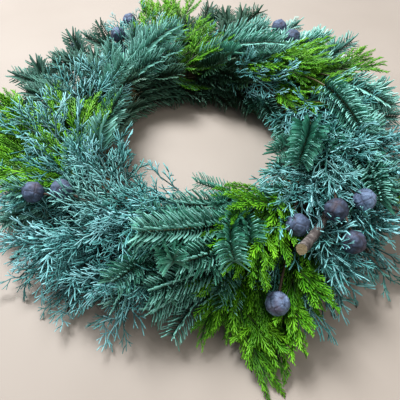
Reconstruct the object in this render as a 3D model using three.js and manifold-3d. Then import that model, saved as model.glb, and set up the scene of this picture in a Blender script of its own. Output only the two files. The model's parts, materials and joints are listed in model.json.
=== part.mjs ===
// Fresh evergreen wreath: sprays of fir and cypress, cones and twigs wired to a straw ring.
// Millimetres, +Z up, lying flat. The ring's middle is the axis while the pieces are placed.
import * as THREE from 'three';
import { mergeVertices } from 'three/addons/utils/BufferGeometryUtils.js';
import Module from 'manifold-3d';

const wasm = await Module();
wasm.setup();

// Straw ring: an eight-sided tube bent round in a circle, pinched where the wire is pulled tight.
const RING_RADIUS = 130;
const TUBE_FLAT = 20;
const TUBE_SIDES = 8;
const TUBE_CORNER = TUBE_FLAT / Math.cos(Math.PI / TUBE_SIDES);
const PINCHED_CORNER = 19.6;
const WIRE_TURNS = 16;
const SECTIONS_PER_TURN = 3;
const TURN_ANGLE = 360 / WIRE_TURNS;

// Binding wire: tight under the ring, lifted over the stems elsewhere.
const WIRE_RADIUS = 0.7;
const WIRE_TIGHT = 20.6;
const WIRE_LIFTED = 26.5;

// Stems: the part bound under the wire, and the room kept round every piece.
const STEM_RADIUS = 1.5;
const SHOOT_RADIUS = 1.2;
const STALK_TIP_RADIUS = 1.1;
const NEEDLE_ROOM = 0.9;
const BLADE_RADIUS = 0.6;
const STEM_REACH = 0.42;
const STEM_RISE = 0.06;
const STEM_STEPS = 8;
const SEAT_GAP = 0.4;
const SEAT_BEHIND = 7;
const SEAT_AHEAD = 5;
const SKELETON_GAP = 1.3;
const BOUND_GAP = 0.3;
const NEEDLE_GAP = 0.5;
const FLOOR_GAP = 0.5;
const HOLE_RADIUS = 84;
const OUTER_LIMIT = 268;

// Colours as seen in soft daylight.
const COLOURS = {
  straw: 0xb89a5e,
  wire: 0x2f4a34,
  fir: 0x3c6a5c,
  blue: 0x6f9a94,
  green: 0x5f8f22,
  cone: 0x6a6470,
  twig: 0x6b5848,
  berry: 0x4a3550,
};

// How each kind of foliage grows: its side shoots [place, side, pitch, length] and what they bear.
const FOLIAGE = {
  fir: {
    node: 'fir_spray',
    sides: 3,
    coreRadius: 1.4,
    coreDepth: 1,
    spacing: 20,
    base: 2.4,
    tipLength: 5,
    bearing: [19, 14],
    lean: [58, 34],
    bareFrom: 0.16,
    shoots: [[0.4, 1, 4, 46], [0.52, -1, -4, 42]],
  },
  blue: {
    node: 'blue_cypress_spray',
    sides: 3,
    coreRadius: 1.2,
    coreDepth: 1,
    spacing: 28,
    base: 2.2,
    tipLength: 8,
    bearing: [16, 11],
    lean: [36, 26],
    bareFrom: 0.22,
    shoots: [[0.36, 1, 14, 44], [0.5, -1, -4, 44], [0.7, 1, 8, 34]],
  },
  green: {
    node: 'green_cypress_spray',
    sides: 4,
    coreRadius: 1.6,
    coreDepth: 0.5,
    spacing: 12.5,
    tipLength: 7,
    bearing: [21, 7],
    lean: [48, 36],
    bareFrom: 0.3,
    shoots: [[0.36, 1, 2, 50], [0.48, -1, -2, 44]],
  },
};

// Sprays, in order round the ring against the clock: kind, turn of wire and tube angle of the seat,
// then azimuth, radius and height of the tip. Tube angle 0 is the outer side, 90 the top.
const SPRAYS = [
  ['fir', 0, 90, 345, 178, 66],
  ['fir', 0, 135, 322, 126, 62],
  ['blue', 0, 45, 341, 220, 34],
  ['green', 0, 0, 337, 240, 24],
  ['fir', 1, 62, 8, 228, 44],
  ['blue', 1, 135, 350, 112, 48],
  ['green', 2, 90, 24, 212, 60],
  ['green', 2, 135, 14, 142, 62],
  ['fir', 2, 45, 42, 248, 40],
  ['blue', 3, 135, 28, 96, 50],
  ['fir', 3, 90, 52, 240, 52],
  ['fir', 4, 135, 62, 106, 52],
  ['fir', 4, 45, 76, 260, 44],
  ['green', 5, 45, 98, 260, 46],
  ['green', 5, 135, 84, 134, 62],
  ['fir', 6, 90, 100, 142, 75],
  ['fir', 6, 135, 106, 104, 54],
  ['blue', 6, 45, 116, 232, 42],
  ['fir', 6, 0, 129, 264, 28],
  ['fir', 7, 90, 146, 228, 46],
  ['blue', 8, 90, 156, 126, 60],
  ['fir', 8, 135, 166, 98, 42],
  ['fir', 8, 45, 156, 246, 34],
  ['fir', 8, 0, 166, 242, 24],
  ['green', 9, 90, 174, 122, 60],
  ['green', 9, 45, 182, 224, 46],
  ['blue', 9, 0, 178, 236, 22],
  ['blue', 10, 135, 206, 116, 54],
  ['fir', 10, 45, 206, 198, 50],
  ['fir', 10, 0, 210, 236, 16],
  ['blue', 11, 90, 214, 120, 62],
  ['blue', 11, 45, 227, 238, 15],
  ['blue', 11, 0, 238, 236, 10],
  ['blue', 12, 90, 241, 170, 66],
  ['blue', 12, 135, 246, 122, 50],
  ['fir', 12, 45, 264, 196, 78],
  ['blue', 12, 0, 249, 230, 10],
  ['fir', 13, 45, 254, 174, 76],
  ['fir', 13, 90, 277, 198, 81],
  ['fir', 13, 135, 276, 128, 58],
  ['fir', 13, 0, 264, 228, 14],
  ['green', 13, 22, 281, 260, 8],
  ['green', 14, 135, 280, 148, 68],
  ['green', 14, 90, 279, 186, 60],
  ['blue', 14, 45, 297, 228, 14],
  ['green', 14, 0, 284, 252, 8],
  ['blue', 15, 90, 300, 148, 66],
  ['fir', 15, 45, 323, 208, 50],
  ['blue', 15, 0, 314, 244, 12],
];

// Cones: a bunch shares one forked stalk. Turn and tube angle of its seat, then each cone's place.
const CONE_RADIUS = 9.8;
const CONE_BUNCHES = [
  [6, 67, [[124, 198, 56], [115, 244, 46]]],
  [7, 45, [[137, 230, 40]]],
  [3, 45, [[51, 190, 62], [59, 206, 60]]],
  [15, 66, [[319, 190, 64], [308, 182, 74], [307, 208, 60]]],
  [14, 67, [[298, 172, 64]]],
  [14, 22, [[286, 219, 40]]],
  [11, 67, [[216, 189, 58], [221, 168, 60]]],
];

// Cut twig: seat, then azimuth, radius and height of the cut end, and its thickness there.
const CUT_TWIGS = [
  [15, 30, 293, 197, 74, 4.8],
];

// Berries: seat of their sprig, then each berry's place.
const BERRY_RADIUS = 3.4;
const BERRY_SPRIG = [1, 98, [[358, 147, 68], [2, 152, 66], [1, 142, 70]]];

const WELD = 0.003;
const UP = new THREE.Vector3(0, 0, 1);
const SHOOT_ROLL = 0.35;
const CHORD_STRAY = 0.35;
const CONE_ROOM = 1.08;
const TIP_RADIUS = 0.8;
const BARE_FOOT = 8;
const occupied = [];

// A seeded draw between -1 and 1, so that every build is the same.
function drawer(seed) {
  let state = (seed * 7919 + 12345) % 4294967296;
  return () => {
    state = (state * 1664525 + 1013904223) % 4294967296;
    return (state / 4294967296) * 2 - 1;
  };
}

function polar(azimuth, radius, height) {
  const angle = THREE.MathUtils.degToRad(azimuth);
  return new THREE.Vector3(radius * Math.cos(angle), radius * Math.sin(angle), height);
}

// A point round the tube of the ring, at a distance from the tube's middle.
function tubePoint(azimuth, tubeAngle, distance) {
  const angle = THREE.MathUtils.degToRad(tubeAngle);
  return polar(azimuth, RING_RADIUS + distance * Math.cos(angle), TUBE_FLAT + distance * Math.sin(angle));
}

function geometryFrom(positions, triangles) {
  const geometry = new THREE.BufferGeometry();
  geometry.setAttribute('position', new THREE.Float32BufferAttribute(positions, 3));
  geometry.setIndex(triangles);
  return geometry;
}

function solidFrom(geometry) {
  return new wasm.Manifold(new wasm.Mesh({
    numProp: 3,
    vertProperties: new Float32Array(geometry.attributes.position.array),
    triVerts: new Uint32Array(geometry.index.array),
  }));
}

// The mesh with corners nearer than WELD merged, or null if an edge lacks a face on one side.
function welded(positions, faces) {
  const kept = [];
  const places = [];
  for (let i = 0; i < positions.length; i += 3) {
    const place = new THREE.Vector3().fromArray(positions, i);
    let index = kept.findIndex((other) => other.distanceTo(place) < WELD);
    if (index < 0) index = kept.push(place) - 1;
    places.push(index);
  }
  const triangles = [];
  const edges = new Set();
  for (let i = 0; i < faces.length; i += 3) {
    const corners = [0, 1, 2].map((k) => places[faces[i + k]]);
    if (new Set(corners).size === 3) {
      triangles.push(...corners);
      corners.forEach((corner, k) => edges.add(corner * kept.length + corners[(k + 1) % 3]));
    }
  }
  const isPaired = [...edges].every((edge) => (
    edges.has((edge % kept.length) * kept.length + Math.floor(edge / kept.length))
  ));
  if (!isPaired || edges.size !== triangles.length) return null;
  return geometryFrom(kept.flatMap((place) => place.toArray()), triangles);
}

// Joins pieces into one solid. Where corners nearly meet, the pieces are set a hair apart again.
function fused(geometries) {
  for (let attempt = 0; attempt < 8; attempt += 1) {
    const shift = attempt * 0.11;
    const pieces = geometries.map((geometry, i) => geometry.clone().translate(i * shift, 0, -i * shift));
    const mesh = wasm.Manifold.union(pieces.map(solidFrom)).simplify(0.03).getMesh();
    const joined = welded(mesh.vertProperties, mesh.triVerts);
    if (joined) return joined;
  }
  throw new Error('no clean join');
}

// Room round the pieces: every limb, cone and needle is kept as a line with a radius.
function gapBetween(one, other) {
  const reach = one.half + other.half + 30;
  if (one.middle.distanceToSquared(other.middle) > reach * reach) return Infinity;
  return Math.sqrt(one.line.distanceSqToLine3(other.line)) - one.radius - other.radius;
}

function bar(start, end, radius, owner, limb) {
  const line = new THREE.Line3(start.clone(), end.clone());
  return {
    line, radius, owner, limb, middle: line.getCenter(new THREE.Vector3()), half: line.distance() / 2,
  };
}

function isFree(candidate, gap) {
  return occupied.every((other) => (
    (other.owner === candidate.owner && (!candidate.limb || other.limb === candidate.limb))
    || gapBetween(candidate, other) > gap
  ));
}

// Whether a line stays above the floor, outside the hole, off the ring and within the wreath.
function isInBounds(start, end, radius, checkRing) {
  return [0.1, 0.4, 0.7, 1].every((t) => {
    const point = start.clone().lerp(end, t);
    const fromAxis = Math.hypot(point.x, point.y);
    const fromTube = Math.hypot(fromAxis - RING_RADIUS, point.z - TUBE_FLAT);
    return point.z > radius + FLOOR_GAP
      && fromAxis > HOLE_RADIUS + radius
      && fromAxis < OUTER_LIMIT
      && (!checkRing || fromTube > TUBE_CORNER + radius + SEAT_GAP);
  });
}

function barsAlong(points, radius, owner, limb) {
  return points.slice(1).map((point, i) => bar(points[i], point, radius, owner, limb));
}

// A stem's first three lines lie against the ring and under the wire, and the rest is free.
function stemBars(points, radius, owner, limb) {
  return points.slice(1).map((point, i) => (
    bar(points[i], point, i < 3 ? STEM_RADIUS : radius, owner, limb)
  ));
}

function stemIsFree(points, radius, owner) {
  return stemBars(points, radius, owner).every((each, i) => (
    isInBounds(each.line.start, each.line.end, each.radius, i >= 3)
    && isFree(each, i < 2 ? BOUND_GAP : SKELETON_GAP)
  ));
}

// The bound butt of a stem, under one turn of wire, and the way its free part starts.
function seat(turn, tubeAngle) {
  const fromFlat = THREE.MathUtils.degToRad((((tubeAngle + 382.5) % 45) - 22.5));
  const distance = TUBE_FLAT / Math.cos(fromFlat) + SEAT_GAP + STEM_RADIUS;
  const crossing = (turn + tubeAngle / 360) * TURN_ANGLE;
  const steps = [SEAT_BEHIND, 0, -SEAT_AHEAD];
  const points = steps.map((step) => tubePoint(crossing + step, tubeAngle, distance));
  const onward = points[2].clone().sub(points[1]).normalize();
  const outward = points[1].clone().sub(tubePoint(crossing, tubeAngle, 0)).normalize();
  return { points, onward, outward };
}

// A stem from its seat to its tip, bent in one sweep.
function stemPath(start, tip, lift) {
  const from = start.points[2];
  const reach = from.distanceTo(tip);
  const bend = from.clone()
    .addScaledVector(start.onward, reach * STEM_REACH)
    .addScaledVector(start.outward, lift + reach * STEM_RISE);
  const curve = new THREE.QuadraticBezierCurve3(from, bend, tip);
  return [...start.points, ...curve.getPoints(STEM_STEPS).slice(1)];
}

// The first path clear of what is already placed, with its tip moved a little where it must be.
function clearStem(turn, tubeAngle, tip, radius, owner, tries) {
  const start = seat(turn, tubeAngle);
  for (const [turnBy, raiseBy, lift] of tries) {
    const path = stemPath(start, polar(tip[0] + turnBy, tip[1], tip[2] + raiseBy), lift);
    if (stemIsFree(path, radius, owner)) return path;
  }
  return null;
}

const TRIES = [];
for (const lift of [9, 14, 5]) {
  for (const raiseBy of [0, 5, -5, 10, -10]) {
    for (const turnBy of [0, 2.5, -2.5, 5, -5]) TRIES.push([turnBy, raiseBy, lift]);
  }
}

function lengthAlong(points) {
  return points.slice(1).reduce((sum, point, i) => sum + point.distanceTo(points[i]), 0);
}

// Place, direction and upright of a line of points at a distance along it.
function pointAlong(points, distance) {
  let left = distance;
  for (let i = 1; i < points.length; i += 1) {
    const step = points[i].distanceTo(points[i - 1]);
    if (left <= step || i === points.length - 1) {
      const onward = points[i].clone().sub(points[i - 1]).normalize();
      const point = points[i - 1].clone().addScaledVector(onward, left);
      const upright = UP.clone().addScaledVector(onward, -UP.dot(onward)).normalize();
      return { point, onward, upright, side: upright.clone().cross(onward) };
    }
    left -= step;
  }
  return null;
}

// A side shoot's line, bent a little forward, from a place on its stem.
function shootPath(stem, place, side, pitch, length, spread) {
  const from = pointAlong(stem, lengthAlong(stem) * place);
  const angle = THREE.MathUtils.degToRad(spread);
  const rise = THREE.MathUtils.degToRad(pitch);
  const out = from.onward.clone().multiplyScalar(Math.cos(angle))
    .addScaledVector(from.side, side * Math.sin(angle) * Math.cos(rise))
    .addScaledVector(from.upright, Math.sin(rise));
  const middle = from.point.clone().addScaledVector(out, length * 0.5);
  const end = middle.clone().addScaledVector(out.clone().lerp(from.onward, 0.3).normalize(), length * 0.5);
  return [from.point, middle, end];
}

// A closed limb through stations. apexAt gives the tip of what a facet bears, or null.
function limbGeometry(stations, sides, tip, apexAt) {
  const positions = [];
  const triangles = [];
  for (const { point, side, upright, width, depth, twist } of stations) {
    for (let j = 0; j < sides; j += 1) {
      const angle = ((j + 0.5) * 2 * Math.PI) / sides + twist;
      const corner = point.clone()
        .addScaledVector(side, width * Math.cos(angle))
        .addScaledVector(upright, depth * Math.sin(angle));
      positions.push(corner.x, corner.y, corner.z);
    }
  }
  const last = (stations.length - 1) * sides;
  for (let j = 0; j < sides; j += 1) {
    const before = (j + sides - 1) % sides;
    for (let i = 0; i < stations.length - 1; i += 1) {
      const corners = [before, j, j + sides, before + sides].map((index) => index + i * sides);
      const apex = apexAt(i, j);
      if (apex) {
        const top = positions.length / 3;
        positions.push(apex.x, apex.y, apex.z);
        corners.forEach((corner, k) => triangles.push(corner, corners[(k + 1) % 4], top));
      } else {
        triangles.push(corners[0], corners[1], corners[3], corners[1], corners[2], corners[3]);
      }
    }
  }
  for (let j = 1; j < sides - 1; j += 1) triangles.push(0, j + 1, j);
  if (tip) {
    const top = positions.length / 3;
    positions.push(tip.x, tip.y, tip.z);
    for (let j = 0; j < sides; j += 1) triangles.push(last + ((j + sides - 1) % sides), last + j, top);
  } else {
    for (let j = 1; j < sides - 1; j += 1) triangles.push(last, last + j, last + j + 1);
  }
  return geometryFrom(positions, triangles);
}

// The turn of a stem's section that sets one corner towards the ring where it is bound.
function boundTwist(points, sides) {
  const { side, upright } = pointAlong(points, points[0].distanceTo(points[1]));
  const azimuth = THREE.MathUtils.radToDeg(Math.atan2(points[1].y, points[1].x));
  const inward = polar(azimuth, RING_RADIUS, TUBE_FLAT).sub(points[1]);
  const step = (2 * Math.PI) / sides;
  const turn = Math.atan2(inward.dot(upright), inward.dot(side)) - step / 2;
  return turn - step * Math.ceil(turn / step);
}

// A bare limb, such as a stalk or a cut twig, with a ring of corners at each point.
function bareLimb(fullPoints, startRadius, endRadius, sides) {
  const points = fullPoints.filter((point, i) => i < 3 || i % 2 === 0);
  const whole = lengthAlong(points);
  let along = 0;
  const turn = points.length > 3 ? boundTwist(points, sides) : 0;
  const stations = points.map((point, i) => {
    if (i) along += point.distanceTo(points[i - 1]);
    const radius = i < 3 ? startRadius : THREE.MathUtils.lerp(startRadius, endRadius, along / whole);
    const twist = i < 3 ? turn : 0;
    return { ...pointAlong(points, along), point, width: radius, depth: radius, twist };
  });
  return limbGeometry(stations, sides, null, () => null);
}

// Where a needle, thread or leaflet starts on its facet, and its full reach.
function bearingOn(plan, stations, i, j, share, draw) {
  const facetAngle = (j * 2 * Math.PI) / plan.sides + stations[i].twist;
  const { side, upright, onward } = stations[i];
  const out = side.clone().multiplyScalar(Math.cos(facetAngle))
    .addScaledVector(upright, Math.sin(facetAngle));
  const around = out.clone().cross(onward);
  const middle = stations[i].point.clone().lerp(stations[i + 1].point, 0.5);
  const { degToRad, lerp } = THREE.MathUtils;
  const lean = degToRad(lerp(plan.lean[0], plan.lean[1], share) + 4 * draw());
  const length = lerp(plan.bearing[0], plan.bearing[1], share) * (1 + 0.08 * draw());
  const direction = out.multiplyScalar(Math.sin(lean))
    .addScaledVector(onward, Math.cos(lean))
    .addScaledVector(around, plan.sides === 4 ? 0.04 * draw() : 0.2 * draw());
  return { root: middle, direction: direction.normalize(), length };
}

// The longest of a few lengths that keeps a needle clear of every other piece, or null.
function clearApex(plan, stations, i, bearing, owner, limb) {
  const half = stations[i + 1].point.clone().sub(stations[i].point).multiplyScalar(0.4);
  const roots = plan.sides === 4
    ? [bearing.root.clone().sub(half), bearing.root, bearing.root.clone().add(half)]
    : [bearing.root];
  for (const share of [1, 0.75, 0.5]) {
    const apex = bearing.root.clone().addScaledVector(bearing.direction, bearing.length * share);
    const bars = roots.map((root) => {
      const start = root.clone().lerp(apex, 0.12);
      return bar(start, apex, NEEDLE_ROOM, owner, limb);
    });
    const isClear = bars.every((each) => (
      isInBounds(each.line.start, apex, BLADE_RADIUS, true) && isFree(each, NEEDLE_GAP)
    ));
    if (isClear) {
      occupied.push(...bars);
      return apex;
    }
  }
  return null;
}

// Where along a limb its needles stand: whorls with bare bark between, or leaflets edge to edge.
function bearingStops(plan, bareLength, whole) {
  const range = whole - bareLength - plan.tipLength;
  const stops = [];
  if (plan.sides === 4) {
    const count = Math.max(2, Math.round(range / plan.spacing));
    for (let k = 0; k <= count; k += 1) {
      stops.push({ at: bareLength + (k * range) / count, twist: 0, bears: k < count });
    }
    return stops;
  }
  const count = Math.max(1, Math.round(range / plan.spacing));
  for (let k = 0; k <= count; k += 1) {
    const at = bareLength + (k * range) / count;
    const twist = (k * Math.PI) / plan.sides;
    stops.push({ at, twist, bears: true }, { at: at + plan.base, twist, bears: false });
  }
  return stops;
}

// A limb that bears needles, threads or leaflets from a distance along it to its tip.
function bearingLimb(plan, points, bareLength, startRadius, owner, limb, draw) {
  const whole = lengthAlong(points);
  const corners = points.map((point, i) => lengthAlong(points.slice(0, i + 1)));
  const bound = limb === 'stem'
    ? [0, corners[2]].map((at) => ({ at, twist: boundTwist(points, plan.sides), isBound: true }))
    : [{ at: 0, twist: 0 }];
  const stops = [...bound, ...bearingStops(plan, bareLength, whole), { at: whole, twist: 0 }];
  const strays = (from, to) => {
    const straight = pointAlong(points, from).point.lerp(pointAlong(points, to).point, 0.5);
    return straight.distanceTo(pointAlong(points, (from + to) / 2).point) > CHORD_STRAY;
  };
  const all = [];
  stops.forEach((stop, i) => {
    if (i) {
      const before = stops[i - 1];
      const between = corners.filter((at) => at > before.at + 2 && at < stop.at - 2);
      if (strays(before.at, stop.at)) {
        const isBound = before.isBound && stop.isBound;
        between.forEach((at) => all.push({ at, twist: (before.twist + stop.twist) / 2, isBound }));
      }
    }
    all.push(stop);
  });
  all.pop();
  const roll = plan.sides === 4 && limb !== 'stem' ? SHOOT_ROLL : 0;
  const stations = all.map(({ at, twist, isBound }) => {
    const radius = isBound ? STEM_RADIUS : THREE.MathUtils.lerp(startRadius, TIP_RADIUS, at / whole);
    const depth = isBound ? radius : radius * plan.coreDepth;
    const { point, onward, side, upright } = pointAlong(points, at);
    side.applyAxisAngle(onward, roll);
    upright.applyAxisAngle(onward, roll);
    return { point, onward, side, upright, width: radius, depth, twist };
  });
  const apexAt = (i, j) => {
    if (!all[i].bears || (plan.sides === 4 && j % 2 === 1)) return null;
    const share = all[i].at / whole;
    return clearApex(plan, stations, i, bearingOn(plan, stations, i, j, share, draw), owner, limb);
  };
  return limbGeometry(stations, plan.sides, points[points.length - 1], apexAt);
}

// The straw ring.
function strawRing() {
  const sections = WIRE_TURNS * SECTIONS_PER_TURN;
  const positions = [];
  const triangles = [];
  for (let i = 0; i < sections; i += 1) {
    const corner = i % SECTIONS_PER_TURN === 0 ? PINCHED_CORNER : TUBE_CORNER;
    for (let j = 0; j < TUBE_SIDES; j += 1) {
      const tubeAngle = ((j + 0.5) * 360) / TUBE_SIDES;
      const azimuth = (i * 360) / sections + (tubeAngle / 360) * TURN_ANGLE;
      positions.push(...tubePoint(azimuth, tubeAngle, corner).toArray());
    }
  }
  const index = (i, j) => {
    const wraps = Math.floor(j / TUBE_SIDES);
    return ((i + wraps * SECTIONS_PER_TURN) % sections) * TUBE_SIDES + (j % TUBE_SIDES);
  };
  for (let i = 0; i < sections; i += 1) {
    for (let j = 0; j < TUBE_SIDES; j += 1) {
      const corners = [index(i, j), index(i + 1, j), index(i + 1, j + 1), index(i, j + 1)];
      triangles.push(corners[0], corners[1], corners[2], corners[0], corners[2], corners[3]);
    }
  }
  return geometryFrom(positions, triangles);
}

// The binding wire, wound round the ring in one direction.
function wireStations() {
  const stations = [];
  const last = WIRE_TURNS * TUBE_SIDES - 3;
  for (let m = -1; m <= last; m += 1) {
    const tubeAngle = (m + 0.5) * (360 / TUBE_SIDES);
    const azimuth = (tubeAngle / 360) * TURN_ANGLE;
    const isUnder = Math.sin(THREE.MathUtils.degToRad(tubeAngle)) < -0.8;
    const point = tubePoint(azimuth, tubeAngle, isUnder ? WIRE_TIGHT : WIRE_LIFTED);
    const upright = point.clone().sub(tubePoint(azimuth, tubeAngle, 0)).normalize();
    stations.push({ point, upright, width: WIRE_RADIUS, depth: WIRE_RADIUS, twist: Math.PI / 6 });
  }
  stations.forEach((station, i) => {
    const before = stations[Math.max(0, i - 1)].point;
    const after = stations[Math.min(stations.length - 1, i + 1)].point;
    const onward = after.clone().sub(before).normalize();
    station.side = station.upright.clone().cross(onward).normalize();
    station.upright = onward.clone().cross(station.side);
  });
  return stations;
}

const group = new THREE.Group();
const counts = {};

function addPiece(name, geometry, colour, roughness, metalness) {
  const look = { color: colour, roughness, metalness, flatShading: true };
  const material = new THREE.MeshStandardMaterial(look);
  const mesh = new THREE.Mesh(geometry, material);
  mesh.name = name;
  group.add(mesh);
}

function numbered(kind) {
  counts[kind] = (counts[kind] || 0) + 1;
  return `${kind}_${String(counts[kind]).padStart(2, '0')}`;
}

addPiece('straw_ring', strawRing(), COLOURS.straw, 0.95, 0);

const wire = wireStations();
addPiece('binding_wire', limbGeometry(wire, 3, null, () => null), COLOURS.wire, 0.45, 0.4);
occupied.push(...barsAlong(wire.map((station) => station.point), WIRE_RADIUS, 'binding_wire'));

// Skeletons first: cones, twigs and berries keep their places, and the sprays bend round them.
const bunches = CONE_BUNCHES.map(([turn, tubeAngle, places], i) => {
  const owner = `cone_${i}`;
  const centres = places.map((place) => polar(...place));
  return { owner, centres, turn, tubeAngle, radius: CONE_RADIUS };
});
const [berryTurn, berryAngle, berryPlaces] = BERRY_SPRIG;
bunches.push({
  owner: 'berry',
  centres: berryPlaces.map((place) => polar(...place)),
  turn: berryTurn,
  tubeAngle: berryAngle,
  radius: BERRY_RADIUS,
});
for (const { owner, centres, radius } of bunches) {
  occupied.push(...centres.map((centre) => bar(centre, centre, radius * CONE_ROOM, owner)));
}
for (const bunch of bunches) {
  const place = bunch.centres[0];
  const tip = [
    THREE.MathUtils.radToDeg(Math.atan2(place.y, place.x)),
    Math.hypot(place.x, place.y),
    place.z,
  ];
  const tries = [5, 9, 14, 20, 2, -3].map((lift) => [0, 0, lift]);
  bunch.stem = clearStem(bunch.turn, bunch.tubeAngle, tip, STEM_RADIUS, bunch.owner, tries);
  if (!bunch.stem) throw new Error(`no way for ${bunch.owner}`);
  bunch.forks = bunch.centres.slice(1).map((centre) => [bunch.stem[6], centre]);
  occupied.push(...barsAlong(bunch.stem, STEM_RADIUS, bunch.owner));
  bunch.forks.forEach((fork) => occupied.push(...barsAlong(fork, STEM_RADIUS, bunch.owner)));
}
const twigs = CUT_TWIGS.map(([turn, tubeAngle, azimuth, radius, height, thickness], i) => {
  const path = clearStem(turn, tubeAngle, [azimuth, radius, height], thickness, `twig_${i}`, TRIES);
  if (!path) throw new Error(`no way for twig ${i}`);
  occupied.push(...stemBars(path, thickness, `twig_${i}`));
  return { path, thickness };
});
const sprays = SPRAYS.map(([kind, turn, tubeAngle, azimuth, radius, height], i) => {
  const owner = `spray_${i}`;
  const stem = clearStem(turn, tubeAngle, [azimuth, radius, height], STEM_RADIUS, owner, TRIES);
  if (!stem) throw new Error(`no way for spray ${i}: ${kind} at turn ${turn}, ${tubeAngle}`);
  occupied.push(...barsAlong(stem, STEM_RADIUS, owner, 'stem'));
  return { kind, owner, stem, draw: drawer(i + 1), limbs: [] };
});

// Side shoots next, each at the first pitch where it is clear, shorter where it must be.
const SHOOT_TRIES = [];
for (const share of [1, 0.8, 0.6]) {
  for (const pitchBy of [0, 14, -14, 28, -28, 42]) SHOOT_TRIES.push([share, pitchBy]);
}
for (const spray of sprays) {
  const plan = FOLIAGE[spray.kind];
  plan.shoots.forEach(([place, side, pitch, length], i) => {
    const spread = 40 + 6 * spray.draw();
    const full = length * (1 + 0.08 * spray.draw());
    for (const [share, pitchBy] of SHOOT_TRIES) {
      const path = shootPath(spray.stem, place, side, pitch + pitchBy, full * share, spread);
      const isClear = path.slice(1).every((point, k) => (
        isInBounds(path[k], point, SHOOT_RADIUS, true)
        && isFree(bar(path[k], point, SHOOT_RADIUS, spray.owner), SKELETON_GAP)
      ));
      if (isClear) {
        spray.limbs.push({ path, name: `shoot_${i}` });
        occupied.push(...barsAlong(path, SHOOT_RADIUS, spray.owner, `shoot_${i}`));
        break;
      }
    }
  });
}

// Cones are round with flat many-sided scales, and so are the berries, which are smaller.
function coneGeometry(centre, radius) {
  const geometry = new THREE.DodecahedronGeometry(radius * 1.04, 0);
  geometry.deleteAttribute('normal');
  geometry.deleteAttribute('uv');
  return mergeVertices(geometry, 0.01).translate(centre.x, centre.y, centre.z);
}

for (const bunch of bunches) {
  const isBerry = bunch.owner === 'berry';
  const pieces = [bareLimb(bunch.stem, STEM_RADIUS, STALK_TIP_RADIUS, 3)];
  bunch.forks.forEach((fork) => pieces.push(bareLimb(fork, STALK_TIP_RADIUS, 1, 3)));
  bunch.centres.forEach((centre) => pieces.push(coneGeometry(centre, bunch.radius)));
  const name = isBerry ? numbered('berry_sprig') : numbered('cone_bunch');
  addPiece(name, fused(pieces), isBerry ? COLOURS.berry : COLOURS.cone, 0.8, 0);
}

for (const { path, thickness } of twigs) {
  addPiece(numbered('cut_twig'), bareLimb(path, STEM_RADIUS, thickness, 6), COLOURS.twig, 0.85, 0);
}

// Foliage last: needles, threads and leaflets fill what room is left.
for (const { kind, owner, stem, draw, limbs } of sprays) {
  const plan = FOLIAGE[kind];
  const bound = lengthAlong(stem.slice(0, 3));
  const bare = bound + (lengthAlong(stem) - bound) * plan.bareFrom;
  const pieces = [bearingLimb(plan, stem, bare, plan.coreRadius, owner, 'stem', draw)];
  for (const { path, name } of limbs) {
    pieces.push(bearingLimb(plan, path, BARE_FOOT, plan.coreRadius * 0.85, owner, name, draw));
  }
  addPiece(numbered(plan.node), fused(pieces), COLOURS[kind], 0.75, 0);
}

// The finished wreath stands on the floor with the middle of its box on the axis.
const box = new THREE.Box3().setFromObject(group);
const middle = box.getCenter(new THREE.Vector3());
group.children.forEach((mesh) => mesh.position.set(-middle.x, -middle.y, -box.min.z));

export default group;
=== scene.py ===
# Fresh evergreen wreath: fir and cypress sprays, cones and twigs wired to a straw ring.
# It lies flat. Places are worked out in millimetres round the ring's middle, and meshes are in metres.
import json
import math
import bmesh
import bpy
import numpy as np
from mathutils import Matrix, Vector, noise

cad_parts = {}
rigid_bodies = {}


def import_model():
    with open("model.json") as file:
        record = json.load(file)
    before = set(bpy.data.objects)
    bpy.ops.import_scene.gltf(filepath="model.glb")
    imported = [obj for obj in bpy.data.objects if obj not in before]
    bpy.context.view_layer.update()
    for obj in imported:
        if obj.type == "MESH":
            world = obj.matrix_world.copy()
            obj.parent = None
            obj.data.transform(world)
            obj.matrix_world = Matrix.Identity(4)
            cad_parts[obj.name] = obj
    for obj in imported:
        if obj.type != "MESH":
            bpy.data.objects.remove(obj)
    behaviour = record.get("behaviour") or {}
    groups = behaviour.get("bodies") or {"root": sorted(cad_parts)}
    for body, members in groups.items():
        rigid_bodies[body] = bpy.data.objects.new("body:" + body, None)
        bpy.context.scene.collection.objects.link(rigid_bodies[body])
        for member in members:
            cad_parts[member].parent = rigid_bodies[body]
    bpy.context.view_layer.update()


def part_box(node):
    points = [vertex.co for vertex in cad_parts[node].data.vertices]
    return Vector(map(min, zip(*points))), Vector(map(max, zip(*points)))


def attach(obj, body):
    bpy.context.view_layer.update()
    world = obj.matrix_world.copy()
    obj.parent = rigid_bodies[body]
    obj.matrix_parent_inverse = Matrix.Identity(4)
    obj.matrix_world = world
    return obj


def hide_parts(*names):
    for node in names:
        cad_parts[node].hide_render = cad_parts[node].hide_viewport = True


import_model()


# Straw ring: the base that all sprays are wired to, hidden under them.
# Wheat straw packed in a round bundle, with loose stalk ends on its surface.
RING_RADIUS = 130
TUBE_RADIUS = 20
RING_LOW, RING_HIGH = (np.array(corner) * 1000 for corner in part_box("straw_ring"))
RING_MIDDLE = (RING_LOW + RING_HIGH) / 2 * [1, 1, 0]


def in_place(points):
    """Points in millimetres round the ring's middle, as metres in the part's own frame."""
    return (np.asarray(points, float) + RING_MIDDLE) * 0.001


def daylight(red, green, blue):
    """A colour as seen in daylight, 0 to 255, in the shader's own scale."""
    shares = [part / 255 for part in (red, green, blue)]
    return (*[((share + 0.055) / 1.055) ** 2.4 if share > 0.04 else share / 12.92 for share in shares], 1)


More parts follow.
